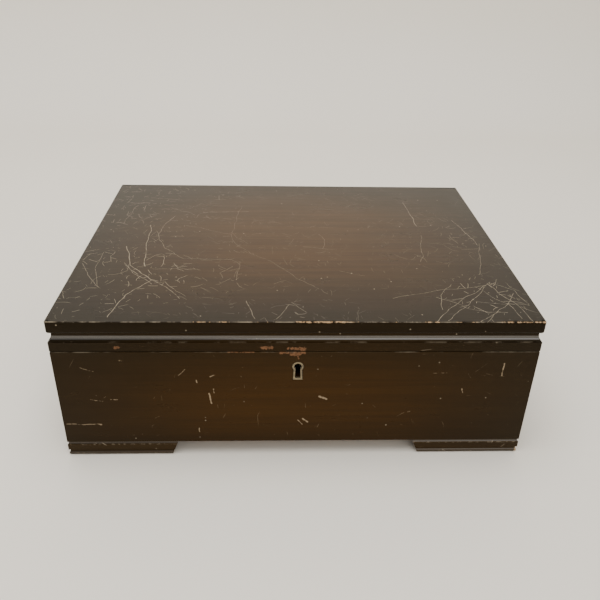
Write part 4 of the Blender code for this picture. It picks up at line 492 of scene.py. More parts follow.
def markRails(flow, place, finish, look):
    x, y, z = place.parts()
    outside = (-1 * y).step(-frontLow.y - 1.0 * mm, -frontLow.y - 0.3 * mm)
    flat = flow.join(x, z)
    ragged = flow.grain(place, 480, 3, 0.7)
    chip = markAll(flow, flat, railMarks["chips"])
    chip = (chip - ragged.step(0.66, 0.34)).step(0.0, 0.3) * outside
    uneven = flow.grain(place, 300, 3).step(0.3, 0.6)
    bare = chip * (0.55 + uneven * 0.45)
    finish = scarred(finish, bare, look["raw"], 0.85, 0.12)
    # the notch is painted near black: painted shade standing in for a recess that has no geometry
    notch = markAll(flow, flat, railMarks["notch"]) * outside
    finish = (finish[0].tinted((0.004, 0.003, 0.002, 1), notch), *finish[1:])
    field = strokes(flow, flow.join(x + y, z), 0.022, 0.3 * mm, 0.5, 0.35)
    patch = flow.grain(place, 30, 2).step(0.45, 0.62)
    finish = scarred(finish, field * patch * 0.5, look["worn"], 0.7, 0.04)
    arris = abs(z - (lidLow.z - 8.5 * mm)).step(0.7 * mm, 0.2 * mm)
    worn = arris * flow.grain(place, 60, 4, 0.7).step(0.5, 0.66)
    return scarred(finish, worn, look["worn"], 0.12, 0.02)


def markFeet(flow, place, finish, look):
    x, y, z = place.parts()
    outer = outerSkin(x, y)
    field = strokes(flow, flow.join(x + y, z), 0.014, 0.5 * mm, 0.5, 0.5)
    patch = flow.grain(place, 45, 2).step(0.4, 0.6)
    mark = field * patch * 0.7 * outer
    ragged = flow.grain(place, 260, 4, 0.7)
    bead = z.step(3.4 * mm, 1.6 * mm) * ragged.step(0.56, 0.66) * outer
    ledge = abs(z - 12.6 * mm).step(0.9 * mm, 0.2 * mm) * ragged.step(0.5, 0.6) * outer
    corner = stroke(flow, place, (0.2095, frontLow.y, 0.001), (0.2095, frontLow.y, 0.0055), 0.0022)
    corner = corner * ragged.step(0.36, 0.52)
    rubbed = mark.atLeast(bead * 0.3).atLeast(ledge * 0.25)
    finish = scarred(finish, rubbed, look["worn"], 0.7, 0.05)
    return scarred(finish, corner, (0.5, 0.33, 0.18), 0.9, 0.1)


caseMiddle = (0, 0.5 * (frontLow.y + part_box("back_board")[1][1]))
lidSpread = ((0, caseMiddle[1] + 0.012, 0), (0.25, 0.2, 10))
lidLook = {**lacquerLook, "brown": (0.056, 0.0245, 0.0058), "black": (0.0075, 0.0058, 0.0035),
           "topSheen": 0.29, "depth": 0.1}
topLacquer = lacquer("lid lacquer", *lidSpread, None, lidLook)
zoneEdgesX = (-1, -0.128, -0.062, 0.02, 0.125, 1)
zoneEdgesY = (-1, -0.062, 1)
lidFinishes = [
    lacquer(f"lid lacquer {i}{j}", *lidSpread, markZone((columns, rows)), lidLook)
    for i, columns in enumerate(zip(zoneEdgesX, zoneEdgesX[1:]))
    for j, rows in enumerate(zip(zoneEdgesY, zoneEdgesY[1:]))
]
boardLacquer = lacquer("case lacquer", (0, caseMiddle[1], 0.062), (0.25, 10, 0.078), markBoards)
railLook = {**lacquerLook, "brown": (0.014, 0.0065, 0.0012), "gloss": 0.22, "sheen": 0.03,
            "depth": 0.14, "glints": ((128.2, 1.9, 1.0),), "coatIndex": 1.95}
railLacquer = lacquer("rim lacquer", (0, caseMiddle[1], 0.12), (0.24, 10, 0.05), markRails, railLook)
footLook = {**lacquerLook, "brown": (0.025, 0.013, 0.0034), "gloss": 0.25, "sheen": 0.04,
            "glints": ((14.2, 1.2, 0.6), (3.0, 1.1, 0.5)), "coatIndex": 1.7}
footLacquer = lacquer("foot lacquer", (0, caseMiddle[1], 0), (0.4, 10, 0.05), markFeet, footLook)
print("lacquer made")


def bareWood(name, light, dark, along=(7, 170, 170), rough=0.62):
    made, flow, place = newMaterial(name)
    ring = flow.grain(place, along, 4, 0.6, 0.8)
    fibre = flow.grain(place, (along[0] * 5, along[1] * 7, along[2] * 7), 4, 0.6)
    ray = flow.grain(place, (140, 900, 900), 2, 0.5).step(0.62, 0.7)
    stops = [(0.3, dark), (0.55, light), (0.75, dark)]
    colour = ring.add("ShaderNodeValToRGB", {"stops": stops}, {0: ring})
    colour = colour.tinted((0.5, 0.36, 0.24, 1), fibre.step(0.35, 0.75) * 0.45, "MULTIPLY")
    colour = colour.tinted((*dark, 1), ray * 0.5)
    stain = flow.grain(place, 14, 4, 0.65).step(0.5, 0.75)
    colour = colour.tinted((0.42, 0.33, 0.25, 1), stain * 0.55, "MULTIPLY")
    finishMaterial(flow, colour, rough + (fibre - 0.5) * 0.2 + stain * 0.1, fibre * 0.06 + ring * 0.04)
    return made


# metals: a tint, a direction of finish, and how far it has dulled
def metal(name, look):
    made, flow, place = newMaterial(name)
    lines = flow.grain(place, look["lines"], 3, 0.6)
    broad = flow.grain(place, 60, 4, 0.6, 0.5)
    speck = flow.grain(place, 700, 3, 0.6)
    old = (broad * 0.7 + speck * 0.3).step(*look["dulls"])
    colour = flow.add("ShaderNodeRGB")
    colour.socket.default_value = (*look["tint"], 1)
    colour = colour.tinted((*look["old"], 1), old)
    colour = colour.tinted((0.72, 0.7, 0.68, 1), lines.step(0.35, 0.7) * 0.5, "MULTIPLY")
    pit = speck.step(0.66, 0.74) * broad.step(0.45, 0.6)
    colour = colour.tinted((*look["pit"], 1), pit * look["pitted"])
    fine = strokes(flow, flow.join(*place.parts()[:2]), 0.006, 0.06 * mm, 0.6, 0.5)
    rough = look["rough"] + (lines - 0.5) * 0.18 + old * look["duller"] + pit * 0.25 - fine * 0.05
    height = lines * look["tooth"] + speck * look["cast"] - pit * 0.05 - fine * 0.01
    metallic = 1.0 - old * look["coated"] if look["coated"] else 1.0
    finishMaterial(flow, colour, rough, height, metallic)
    return made


# a tint, the colour it dulls to and its pits; the lines run where their number is small
plainMetal = {
    "tint": (0.46, 0.45, 0.43), "old": (0.29, 0.27, 0.24), "pit": (0.12, 0.07, 0.04), "pitted": 0.5,
    "lines": (60, 900, 900), "dulls": (0.42, 0.72), "rough": 0.3, "duller": 0.14, "tooth": 0.012,
    "cast": 0.004, "coated": 0.0,
}
metals = {
    "brass": {
        "tint": (0.70, 0.47, 0.17), "old": (0.40, 0.25, 0.09), "pit": (0.14, 0.09, 0.04), "rough": 0.27},
    "aged_brass": {
        "tint": (0.36, 0.29, 0.17), "old": (0.15, 0.12, 0.08), "pit": (0.06, 0.06, 0.04), "rough": 0.42,
        "dulls": (0.3, 0.62), "coated": 0.35, "cast": 0.012},
    "steel": {},
    "disc_steel": {
        "tint": (0.44, 0.42, 0.39), "old": (0.25, 0.215, 0.18), "rough": 0.36, "lines": (14, 700, 700),
        "pitted": 0.8},
    "spring_steel": {
        "tint": (0.06, 0.085, 0.16), "old": (0.10, 0.07, 0.10), "pit": (0.2, 0.12, 0.06), "rough": 0.28},
    "gilt_iron": {
        "tint": (0.38, 0.235, 0.085), "old": (0.17, 0.1, 0.04), "pit": (0.03, 0.022, 0.015),
        "rough": 0.44, "lines": (300, 300, 300), "cast": 0.09, "pitted": 0.9, "coated": 0.3},
    "nickel": {
        "tint": (0.42, 0.4, 0.365), "old": (0.26, 0.235, 0.195), "pit": (0.16, 0.1, 0.055),
        "rough": 0.25, "lines": (900, 60, 900), "pitted": 0.4},
}
finishes = {name: metal(name, {**plainMetal, **look}) for name, look in metals.items()}
finishes["bare_wood"] = bareWood("bare wood", (0.44, 0.27, 0.13), (0.31, 0.17, 0.075))
knobTones = (0.035, 0.017, 0.008), (0.016, 0.008, 0.004)
finishes["knob_wood"] = bareWood("turned wood", *knobTones, (120, 120, 30), 0.3)
print("metals and plain wood made")

lacquered = {"lid_": topLacquer, "foot_": footLacquer, "lid_rail_": railLacquer}


def dressNodes():
    for part in frame["record"]["subparts"]:
        node, slotName = part["node"], part["material_slot"]
        made = finishes.get(slotName, boardLacquer)
        if slotName == "lacquered_wood":
            for start, one in lacquered.items():
                if node.startswith(start):
                    made = one
        slots = frame["nodes"][node].data.materials
        slots.clear()
        slots.append(made)


dressNodes()
print("every carried piece has its finish")


# links a mesh into the scene as one piece that rides a body
def newPiece(name, mesh, body, replaced=(), smoothUnder=None):
    piece = bpy.data.objects.new(name, mesh)
    bpy.context.scene.collection.objects.link(piece)
    if smoothUnder is not None:
        mesh.shade_smooth()
        mesh.set_sharp_from_angle(angle=math.radians(smoothUnder))
    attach(piece, body)
    if replaced:
        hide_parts(*replaced)
    return piece


# joins rings of points into a skin; capped closes the ends, looped joins the last ring to the first
def loft(shape, rings, capped=True, looped=False):
    rows = [[shape.verts.new(point) for point in ring] for ring in rings]
    pairs = list(zip(rows, rows[1:])) + ([(rows[-1], rows[0])] if looped else [])
    for one, two in pairs:
        for i in range(len(one)):
            j = (i + 1) % len(one)
            shape.faces.new((one[i], one[j], two[j], two[i]))
    if capped:
        shape.faces.new(reversed(rows[0]))
        shape.faces.new(rows[-1])
    bmesh.ops.recalc_face_normals(shape, faces=shape.faces)
    return rows


def meshOf(shape, name):
    mesh = bpy.data.meshes.new(name)
    shape.to_mesh(mesh)
    shape.free()
    return mesh


# points round a rectangle with rounded corners, each with its inward direction
def roundedOutline(low, high, corner, pitches):
    outline = []
    corners = [(high.x, low.y, -90), (high.x, high.y, 0), (low.x, high.y, 90), (low.x, low.y, 180)]
    centres = [(x - math.copysign(corner, x), y - math.copysign(corner, y - (low.y + high.y) / 2), a)
               for x, y, a in corners]
    for i, (x, y, turn) in enumerate(centres):
        for step in range(7):
            angle = math.radians(turn + step * 15)
            out = Vector((math.cos(angle), math.sin(angle), 0))
            outline.append((Vector((x, y, 0)) + out * corner, -out))
        start = outline[-1][0]
        nextX, nextY, nextTurn = centres[(i + 1) % 4]
        angle = math.radians(nextTurn)
        end = Vector((nextX, nextY, 0)) + Vector((math.cos(angle), math.sin(angle), 0)) * corner
        count = int((end - start).length / pitches[i])
        inward = outline[-1][1]
        outline += [(start.lerp(end, k / count), inward) for k in range(1, count)]
    return outline


# the lid's slab, with its rounded lower edge and chipped front arris
lidShape = {
    "round": 2.4,  # mm, the rounded lower edge
    "ease": 0.7,
    "corner": 1.5,
    "chipDepth": 1.0,
    "bruise": 0.1,
}


def makeLid():
    look = lidShape
    outline = roundedOutline(lidLow, lidHigh, look["corner"] * mm, (3 * mm, 5 * mm, 3 * mm, 1.1 * mm))
    arc = [math.radians(15 * i) for i in range(7)]
    roundOff, ease = look["round"] * mm, look["ease"] * mm
    profile = [(roundOff * 3, lidLow.z, 0), (roundOff * 1.3, lidLow.z, 0)]
    profile += [(roundOff * (1 - math.sin(a)), lidLow.z + roundOff * (1 - math.cos(a)), 0) for a in arc]
    profile += [(0, lidHigh.z - 4 * mm, 0), (0, lidHigh.z - 2 * mm, 0.35), (0, lidHigh.z - 1.2 * mm, 0.8)]
    profile += [(ease * (1 - math.cos(a)), lidHigh.z - ease * (1 - math.sin(a)), 1) for a in arc]
    profile += [(ease * 1.9, lidHigh.z, 0.5), (ease * 3.5, lidHigh.z, 0), (ease * 5, lidHigh.z, 0)]
    rings = []
    for inset, height, loose in profile:
        ring = []
        for point, inward in outline:
            dent = abs(noise.noise(point * 90)) * look["bruise"] * mm
            if inward.y > 0.9:
                for start, end, size in lidMarks["chips"]:
                    middle, half = (start + end) / 2 * mm, (end - start) / 2 * mm
                    share = 1 - abs(point.x - middle) / half
                    if share > 0:
                        rough = max(0, noise.noise(Vector((point.x * 330, size * 9, 0))) + 0.45)
                        dent += min(1, share * 4) * rough * size * look["chipDepth"] * mm
            dent *= loose
            top = height > lidHigh.z - ease * 0.5
            ring.append((*(point + inward * (inset + dent)).xy, height - dent * (0.4 if top else 0)))
        rings.append(ring)
    shape = bmesh.new()
    loft(shape, rings)
    # the top is cut into zones, since one finish can't hold all the marks
    for axis, places in enumerate((zoneEdgesX[1:-1], zoneEdgesY[1:-1])):
        for where in places:
            cutAt = Vector((0, 0, 0))
            cutAt[axis] = where
            facing = Vector((0, 0, 0))
            facing[axis] = 1
            geometry = shape.verts[:] + shape.edges[:] + shape.faces[:]
            bmesh.ops.bisect_plane(shape, geom=geometry, plane_co=cutAt, plane_no=facing, dist=1e-7)
    for face in shape.faces:
        middle = face.calc_center_median()
        column = sum(middle.x > x for x in zoneEdgesX[1:-1])
        row = sum(middle.y > y for y in zoneEdgesY[1:-1])
        face.material_index = column * (len(zoneEdgesY) - 1) + row
    mesh = meshOf(shape, "lidSlab")
    for made in lidFinishes:
        mesh.materials.append(made)
    newPiece("lidSlab", mesh, "lid", ["lid_panel"], 35)


makeLid()
print("lid made")


# the keyhole plate
keyholeShape = {"radius": 3.25, "slot": 2.0, "drop": 12.1, "flare": 0.5, "rim": 1.8, "ease": 0.4}


def keyholeOutline(grow):
    look = keyholeShape
    radius, slot, foot = look["radius"] + grow, look["slot"] + grow, look["drop"] + grow
    start = math.asin(slot / radius)
    turns = [start + (2 * math.pi - 2 * start) * i / 40 for i in range(41)]
    points = [(radius * math.sin(a), -radius * math.cos(a)) for a in turns]
    wide = slot + look["flare"]
    return points + [(-wide, -foot), (wide, -foot)]


def makeKeyhole():
    low, high = (Vector(corner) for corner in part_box("keyhole_escutcheon"))
    look = keyholeShape
    centreZ = high.z - (look["radius"] + look["rim"]) * mm
    rim, ease = look["rim"], look["ease"] * mm
    profile = [(rim, high.y), (rim, low.y + ease), (rim - 0.12, low.y + ease * 0.3), (rim - 0.4, low.y),
               (0.4, low.y), (0.12, low.y + ease * 0.3), (0, low.y + ease), (0, high.y)]
    rings = [[(x * mm, y, centreZ + z * mm) for x, z in keyholeOutline(grow)] for grow, y in profile]
    shape = bmesh.new()
    loft(shape, rings, capped=False, looped=True)
    mesh = meshOf(shape, "keyholePlate")
    mesh.materials.append(finishes["aged_brass"])
    newPiece("keyholePlate", mesh, "case", ["keyhole_escutcheon"], 40)


makeKeyhole()
print("keyhole plate made")


# starts a tree of geometry nodes with named inputs
def newShapeTree(name, inputs):
    tree = bpy.data.node_groups.new(name, "GeometryNodeTree")
    geometry = "NodeSocketGeometry"
    tree.interface.new_socket("Geometry", in_out="INPUT", socket_type=geometry)
    for label, value in inputs.items():
        kinds = {float: "NodeSocketFloat", int: "NodeSocketInt", tuple: "NodeSocketVector"}
        kind = kinds.get(type(value), "NodeSocketMaterial")
        item = tree.interface.new_socket(label, in_out="INPUT", socket_type=kind)
        if kind != "NodeSocketMaterial":
            item.default_value = value
    tree.interface.new_socket("Geometry", in_out="OUTPUT", socket_type=geometry)
    source = Flow(tree).add("NodeGroupInput")
    return Flow(tree), {label: source.other(label) for label in ("Geometry", *inputs)}


def endShape(flow, grown, made):
    real = flow.add("GeometryNodeRealizeInstances", sockets={0: grown})
    dressed = flow.add("GeometryNodeSetMaterial", sockets={"Geometry": real, "Material": made})
    flow.add("NodeGroupOutput", sockets={0: dressed})


# runs a tree on some points and keeps the result as a plain mesh
def growMesh(name, tree, points, values):
    seedMesh = bpy.data.meshes.new(name + "Places")
    seedMesh.from_pydata([tuple(p) for p in points], [], [])
    host = bpy.data.objects.new(name + "Host", seedMesh)
    bpy.context.scene.collection.objects.link(host)
    modifier = host.modifiers.new("grow", "NODES")
    modifier.node_group = tree
    for item in tree.interface.items_tree:
        if item.in_out == "INPUT" and item.name in values:
            modifier[item.identifier] = values[item.name]
    host.update_tag()
    bpy.context.view_layer.update()
    graph = bpy.context.evaluated_depsgraph_get()
    mesh = bpy.data.meshes.new_from_object(host.evaluated_get(graph))
    mesh.name = name
    bpy.data.objects.remove(host)
    return mesh


screwSizes = {
    # head radius, height above the surface, taper of the head, in mm
    "cheese": (3.0, 1.5, 0.9),
    "pan": (2.2, 0.9, 0.75),
    "flush": (2.2, 0.2, 0.96),
    "wood": (3.2, 0.7, 0.7),
}


def makeScrewTree():
    inputs = {"Head Radius": 0.003, "Head Height": 0.001, "Taper": 0.9, "Slot Width": 0.0006,
              "Slot Depth": 0.0005, "Facing": (0.0, 0.0, 1.0), "Seed": 3, "Finish": None}
    flow, given = newShapeTree("slottedScrews", inputs)
    sunk = 0.0008
    sides = {"Vertices": 20, "Radius Top": given["Head Radius"] * given["Taper"],
             "Radius Bottom": given["Head Radius"], "Depth": given["Head Height"] + sunk}
    head = flow.add("GeometryNodeMeshCone", {"fill_type": "NGON"}, sides)
    size = flow.join(given["Slot Width"], given["Head Radius"] * 3, given["Slot Depth"] * 2)
    blade = flow.add("GeometryNodeMeshCube", sockets={"Size": size})
    raised = flow.join(0.0, 0.0, given["Head Height"] + sunk)
    blade = flow.add("GeometryNodeTransform", sockets={"Geometry": blade, "Translation": raised})
    slotted = flow.add("GeometryNodeMeshBoolean", {"operation": "DIFFERENCE"}, {0: head, 1: blade})
    lowered = flow.add("GeometryNodeTransform", sockets={"Geometry": slotted, "Translation": (0, 0, -sunk)})
    drawn = {2: 0.0, 3: 3.14, 8: given["Seed"]}
    turn = flow.add("FunctionNodeRandomValue", {"data_type": "FLOAT"}, drawn, 1)
    turned = flow.add("FunctionNodeEulerToRotation", sockets={0: flow.join(0.0, 0.0, turn)})
    aimed = flow.add("FunctionNodeAlignRotationToVector", {"axis": "Z"}, {"Vector": given["Facing"]})
    both = flow.add("FunctionNodeRotateRotation", {"rotation_space": "LOCAL"}, {0: aimed, 1: turned})
    placed = flow.add("GeometryNodeInstanceOnPoints", sockets={
        "Points": given["Geometry"], "Instance": lowered, "Rotation": both})
    endShape(flow, placed, given["Finish"])
    return flow.tree


screwTree = makeScrewTree()
spindle = Vector(joints["disc_spin"]["pos_m"])
post = Vector(joints["pressure_bar_swing"]["pos_m"])
rowOut = Vector((post.x - spindle.x, post.y - spindle.y, 0)).normalized()
rowSide = Vector((-rowOut.y, rowOut.x, 0))


# a place in the row of star wheels: out from the spindle, across the row, and its height
def onRow(out, side, height):
    flat = Vector((spindle.x, spindle.y, 0)) + rowOut * out * mm + rowSide * side * mm
    return (flat.x, flat.y, height)


def corners(node, insetX, insetY, height):
    low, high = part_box(node)
    return [(x, y, height) for x in (low[0] + insetX * mm, high[0] - insetX * mm)
            for y in (low[1] + insetY * mm, high[1] - insetY * mm)]


def addScrews(name, body, kind, slotName, facing, places, seed):
    radius, height, taper = screwSizes[kind]
    values = {"Head Radius": radius * mm, "Head Height": height * mm, "Taper": taper,
              "Slot Width": radius * 0.26 * mm, "Slot Depth": max(0.16, height * 0.55) * mm,
              "Facing": facing, "Seed": seed, "Finish": finishes[slotName]}
    mesh = growMesh(name, screwTree, places, values)
    newPiece(name, mesh, body, (), 30)


screwPlaces = {  # in mm
    "combFirst": 41, "combPitch": 15.8, "combSide": 60.5, "combCount": 7,
    "bedInset": (22, 6),
    "starFeet": (31.2, 141.9), "starFootThick": 3.3,
    "leaf": ((-15.5, 4.6), (0, 2.6), (15.5, 4.6)), "leafInset": 0.3,
    "lockSides": (-18, 18), "lockHeights": (4, 22.5), "lockTop": (-18.5, 18.5),
    "keeper": (-10.5, 14), "keeperDrop": 0.4,
    "motorFoot": (9, 110), "motorInset": (5.6, 3.4), "motorFootThick": 2,
    "floorX": (-185, -65, 65, 185), "floorY": (-143, 143),
}


def makeScrews():
    look = screwPlaces
    up, down, back = (0, 0, 1), (0, 0, -1), (0, 1, 0)
    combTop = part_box("comb")[1][2]
    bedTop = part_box("bedplate")[1][2]
    hingeZ = joints["lid_hinge"]["pos_m"][2]
    combPlaces = [onRow(look["combFirst"] + look["combPitch"] * i, look["combSide"], combTop)
                  for i in range(look["combCount"])]
    addScrews("combScrews", "case", "cheese", "steel", up, combPlaces, 2)
    addScrews("bedScrews", "case", "wood", "steel", up, corners("bedplate", *look["bedInset"], bedTop), 5)
    footPlaces = [onRow(out, 0, bedTop + look["starFootThick"] * mm) for out in look["starFeet"]]
    addScrews("starBracketScrews", "case", "pan", "steel", up, footPlaces, 4)
    for side in ("left", "right"):
        low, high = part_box(f"hinge_{side}_case_leaf")
        middle = (low[0] + high[0]) / 2
        rows = [(middle + x * mm, low[1] + y * mm) for x, y in look["leaf"]]
        inset = look["leafInset"] * mm
        for body, facing, height, seed in (("case", up, -inset, 7), ("lid", down, inset, 9)):
            places = [(x, y, hingeZ + height) for x, y in rows]
            name = f"hinge{side.title()}{body.title()}Screws"
            addScrews(name, body, "flush", "aged_brass", facing, places, seed)
    lockLow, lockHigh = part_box("lock_case")
    lockPlaces = [(x * mm, lockHigh[1], lockLow[2] + z * mm)
                  for x in look["lockSides"] for z in look["lockHeights"]]
    addScrews("lockScrews", "case", "flush", "steel", back, lockPlaces, 3)
    middleY = (lockLow[1] + lockHigh[1]) / 2
    topPlaces = [(x * mm, middleY, lockHigh[2]) for x in look["lockTop"]]
    addScrews("lockTopScrews", "case", "flush", "steel", up, topPlaces, 6)
    keeperLow = hingeZ + look["keeperDrop"] * mm
    keeperPlaces = [(x * mm, middleY, keeperLow) for x in look["keeper"]]
    addScrews("keeperScrews", "lid", "flush", "steel", down, keeperPlaces, 8)
    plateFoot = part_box("motor_plate_inner")
    footTop = plateFoot[0][2] + look["motorFootThick"] * mm
    insetInner, insetOuter = look["motorInset"]
    sides = (plateFoot[0][0] + insetInner * mm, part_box("motor_plate_outer")[1][0] - insetOuter * mm)
    motorPlaces = [(x, plateFoot[0][1] + y * mm, footTop) for x in sides for y in look["motorFoot"]]
    addScrews("motorFootScrews", "case", "pan", "steel", up, motorPlaces, 11)
    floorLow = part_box("bottom_board")[0][2]
    under = [(x * mm, caseMiddle[1] + y * mm, floorLow) for x in look["floorX"] for y in look["floorY"]]
    addScrews("bottomScrews", "case", "wood", "steel", down, under, 12)


makeScrews()
print("screws made")


# the tune disc
discShape = {
    "steps": 480,  # cells round the disc, six to a drive hole; the rest is in mm
    "bore": 3.3,
    "rim": 149.0,
    "tracks": 20,
    "firstTrack": 40.0,
    "lastTrack": 133.1,
    "slotWidth": 1.7,
    "slotLength": 3.4,
    "fullness": 0.36,
    "hole": (140.5, 145.5),
    "seed": 17,
}


def makeDiscTree():
    steps = discShape["steps"]
    inputs = {"Bore": 0.0033, "Rim": 0.149, "Thickness": 0.0008, "First Track": 0.04, "Last Track": 0.133,
              "Slot Width": 0.0016, "Slot Length": 0.0034, "Hole Start": 0.1405, "Hole End": 0.1455,
              "Fullness": 0.4, "Seed": 1, "Centre": (0.0, 0.0, 0.0), "Finish": None}
    flow, given = newShapeTree("tuneDisc", inputs)

    # a ring of cells; spread gives a point's radius from its share, and holes says which cells go
    def ring(rows, spread, holes=None):
        grid = flow.add("GeometryNodeMeshGrid", sockets={0: 1.0, 1: 1.0, 2: steps + 1, 3: rows + 1})
        x, y, z = flow.add("GeometryNodeInputPosition").parts()
        across, out = x + 0.5, y + 0.5
        if holes:
            cell = flow.maths("FLOOR", across * steps)
            row = flow.maths("FLOOR", out * rows)
            settings = {"domain": "FACE", "mode": "ALL"}
            grid = flow.add("GeometryNodeDeleteGeometry", settings, {0: grid, 1: holes(cell, row)})
        radius = spread(out, rows)
        angle = across * (2 * math.pi)
        spot = flow.join(radius * flow.maths("COSINE", angle), radius * flow.maths("SINE", angle))
        return flow.add("GeometryNodeSetPosition", sockets={"Geometry": grid, "Position": spot})

    def even(start, end):
        return lambda out, rows: start + (end - start) * out

    first, last, slot = given["First Track"], given["Last Track"], given["Slot Width"]
    tracks = discShape["tracks"]
    pitch = (last - first) / (tracks - 1)

    def trackSpread(out, rows):
        arrisWearAndGlint = flow.maths("ROUND", out * rows)
        half = flow.maths("FLOOR", arrisWearAndGlint * 0.5)
        return first + pitch * half + (arrisWearAndGlint - half * 2 - 0.5) * slot

    # slots are cut at random, each as long as the slot length and never touching the next
    def slots(cell, row):
        track = flow.maths("FLOOR", row * 0.5)
        onTrack = flow.maths("COMPARE", row - track * 2, 0.0, 0.1)
        wide = (first + pitch * track) * (2 * math.pi / steps)
        span = flow.maths("ROUND", given["Slot Length"] / wide).atLeast(2.0)
        place = flow.maths("FLOOR", cell / (span + 1))
        inside = flow.maths("LESS_THAN", cell - place * (span + 1), span)
        spot = flow.join(place, track, given["Seed"])
        chance = flow.add("ShaderNodeTexWhiteNoise", {"noise_dimensions": "3D"}, {0: spot})
        far = flow.join(cell * 0.035, track * 0.33)
        swell = flow.add("ShaderNodeTexNoise", sockets={"Vector": far, "Scale": 1.0})
        chosen = flow.maths("LESS_THAN", chance, given["Fullness"] * swell.step(0.34, 0.62))
        return onTrack * inside * chosen

    def driveHoles(cell, row):
        return flow.maths("LESS_THAN", flow.maths("FLOORED_MODULO", cell + 2, 6.0), 3.5)

    holeStart, holeEnd = given["Hole Start"], given["Hole End"]
    rings = [
        ring(5, even(given["Bore"], first - slot * 0.5)),
        ring(tracks * 2 - 1, trackSpread, slots),
        ring(2, even(last + slot * 0.5, holeStart)),
        ring(1, even(holeStart, holeEnd), driveHoles),
        ring(1, even(holeEnd, given["Rim"])),
    ]
    together = flow.add("GeometryNodeJoinGeometry")
    for one in reversed(rings):
        flow.tree.links.new(one.socket, together.socket.node.inputs[0])
    flat = flow.add("GeometryNodeMergeByDistance", sockets={"Geometry": together, "Distance": 1e-6})
    faceUp = flow.add("GeometryNodeFlipFaces", sockets={0: flat})
    raised = flow.add("GeometryNodeExtrudeMesh", {"mode": "FACES"}, {
        "Mesh": faceUp, "Offset": (0, 0, 1), "Offset Scale": given["Thickness"], "Individual": False})
    sheet = flow.add("GeometryNodeJoinGeometry")
    for one in (raised, flat):
        flow.tree.links.new(one.socket, sheet.socket.node.inputs[0])
    closed = flow.add("GeometryNodeMergeByDistance", sockets={"Geometry": sheet, "Distance": 1e-6})
    moved = flow.add("GeometryNodeTransform", sockets={"Geometry": closed, "Translation": given["Centre"]})
    endShape(flow, moved, given["Finish"])
    return flow.tree


def makeDisc():
    low, high = (Vector(corner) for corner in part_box("tune_disc"))
    look = discShape
    values = {
        "Bore": look["bore"] * mm, "Rim": look["rim"] * mm, "Thickness": high.z - low.z,
        "First Track": look["firstTrack"] * mm, "Last Track": look["lastTrack"] * mm,
        "Slot Width": look["slotWidth"] * mm, "Slot Length": look["slotLength"] * mm,
        "Hole Start": look["hole"][0] * mm, "Hole End": look["hole"][1] * mm,
        "Fullness": look["fullness"], "Seed": look["seed"], "Centre": (spindle.x, spindle.y, low.z),
        "Finish": finishes["disc_steel"],
    }
    mesh = growMesh("tuneDisc", makeDiscTree(), [(0, 0, 0)], values)
    print("disc faces:", len(mesh.polygons))
    newPiece("tuneDisc", mesh, "disc", ["tune_disc"], 30)


makeDisc()
print("tune disc made")


# floor, light and camera
studio = {
    "floorTone": (0.84, 0.79, 0.70),
    "floorReach": 3.2,
    "wallAt": 1.15,
    "wallHigh": 2.4,
    "sweep": 0.25,
    "worldTone": (0.95, 0.93, 0.89),
    "worldStrength": 0.72,
}


def makeStudio():
    made, flow, place = newMaterial("studio paper")
    tooth = flow.grain(place, 220, 3, 0.6)
    cloud = flow.grain(place, 1.3, 2)
    colour = flow.add("ShaderNodeRGB")
    colour.socket.default_value = (*studio["floorTone"], 1)
    colour = colour.tinted((0.93, 0.92, 0.9, 1), cloud.step(0.3, 0.7) * 0.3, "MULTIPLY")
    finishMaterial(flow, colour, 0.8 + (tooth - 0.5) * 0.1, tooth * 0.02)
    reach, wall, sweep = studio["floorReach"], studio["wallAt"], studio["sweep"]
    bend = [math.radians(degrees) for degrees in range(0, 91, 6)]
    curve = [(wall - sweep + sweep * math.sin(a), sweep * (1 - math.cos(a))) for a in bend]
    profile = [(-reach, 0)] + curve + [(wall, studio["wallHigh"])]
    shape = bmesh.new()
    rows = [[shape.verts.new((side * reach, y, z)) for y, z in profile] for side in (-1, 1)]
    for i in range(len(profile) - 1):
        shape.faces.new((rows[0][i], rows[1][i], rows[1][i + 1], rows[0][i + 1]))
    mesh = bpy.data.meshes.new("studio")
    shape.to_mesh(mesh)
    shape.free()
    mesh.materials.append(made)
    mesh.shade_smooth()
    floor = bpy.data.objects.new("studio", mesh)
    bpy.context.scene.collection.objects.link(floor)


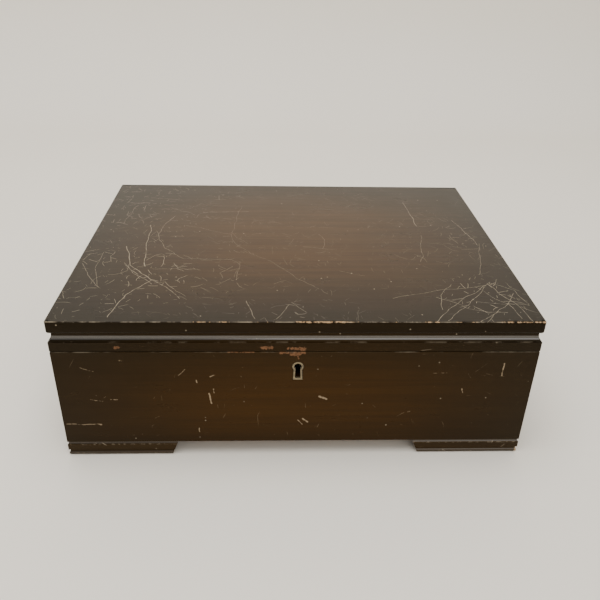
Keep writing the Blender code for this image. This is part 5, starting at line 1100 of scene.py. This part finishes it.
lamps = [
    # name, place, aim, size, power
    ("overheadSoftbox", (-0.15, -0.35, 1.9), (0, 0.1, 0.1), 1.6, 30),
    ("frontSoftbox", (0.5, -1.9, 1.1), (0, -0.1, 0.1), 1.4, 11),
    ("leftSoftbox", (-1.8, -0.3, 0.9), (0, 0, 0.08), 1.0, 7),
    ("wallWash", (0.0, 0.3, 2.0), (0, 1.15, 1.1), 1.2, 8),
]


def makeLights():
    world = bpy.data.worlds.new("studio air")
    bpy.context.scene.world = world
    world.use_nodes = True
    world.node_tree.nodes.clear()
    flow = Flow(world.node_tree)
    tone, strength = (*studio["worldTone"], 1), studio["worldStrength"]
    air = flow.add("ShaderNodeBackground", sockets={0: tone, 1: strength})
    flow.add("ShaderNodeOutputWorld", sockets={0: air})
    for name, place, aim, size, power in lamps:
        light = bpy.data.lights.new(name, "AREA")
        light.shape = "SQUARE"
        light.size = size
        light.energy = power
        lamp = bpy.data.objects.new(name, light)
        lamp.location = place
        lamp.rotation_euler = (Vector(aim) - Vector(place)).to_track_quat("-Z", "Y").to_euler()
        bpy.context.scene.collection.objects.link(lamp)


cameraPlace = {
    "at": (-0.02163, -0.63252, 0.43436),  # in metres
    "down": 0.5198,  # the angles are in radians
    "towardsRight": 0.0468,
    "roll": 0.0254,
    "lens": 39.64,
}


def makeCamera():
    down, turn, roll = cameraPlace["down"], cameraPlace["towardsRight"], cameraPlace["roll"]
    ahead = Vector((math.sin(turn) * math.cos(down), math.cos(turn) * math.cos(down), -math.sin(down)))
    right = Vector((math.cos(turn), -math.sin(turn), 0))
    up = right.cross(ahead)
    rightRolled = right * math.cos(roll) + up * math.sin(roll)
    upRolled = up * math.cos(roll) - right * math.sin(roll)
    data = bpy.data.cameras.new("camera")
    data.lens, data.sensor_width, data.clip_start = cameraPlace["lens"], 36, 0.01
    camera = bpy.data.objects.new("camera", data)
    turned = Matrix((rightRolled, upRolled, -ahead)).transposed().to_4x4()
    camera.matrix_world = Matrix.Translation(cameraPlace["at"]) @ turned
    bpy.context.scene.collection.objects.link(camera)
    bpy.context.scene.camera = camera


makeStudio()
makeLights()
makeCamera()
print("studio, lights and camera made")
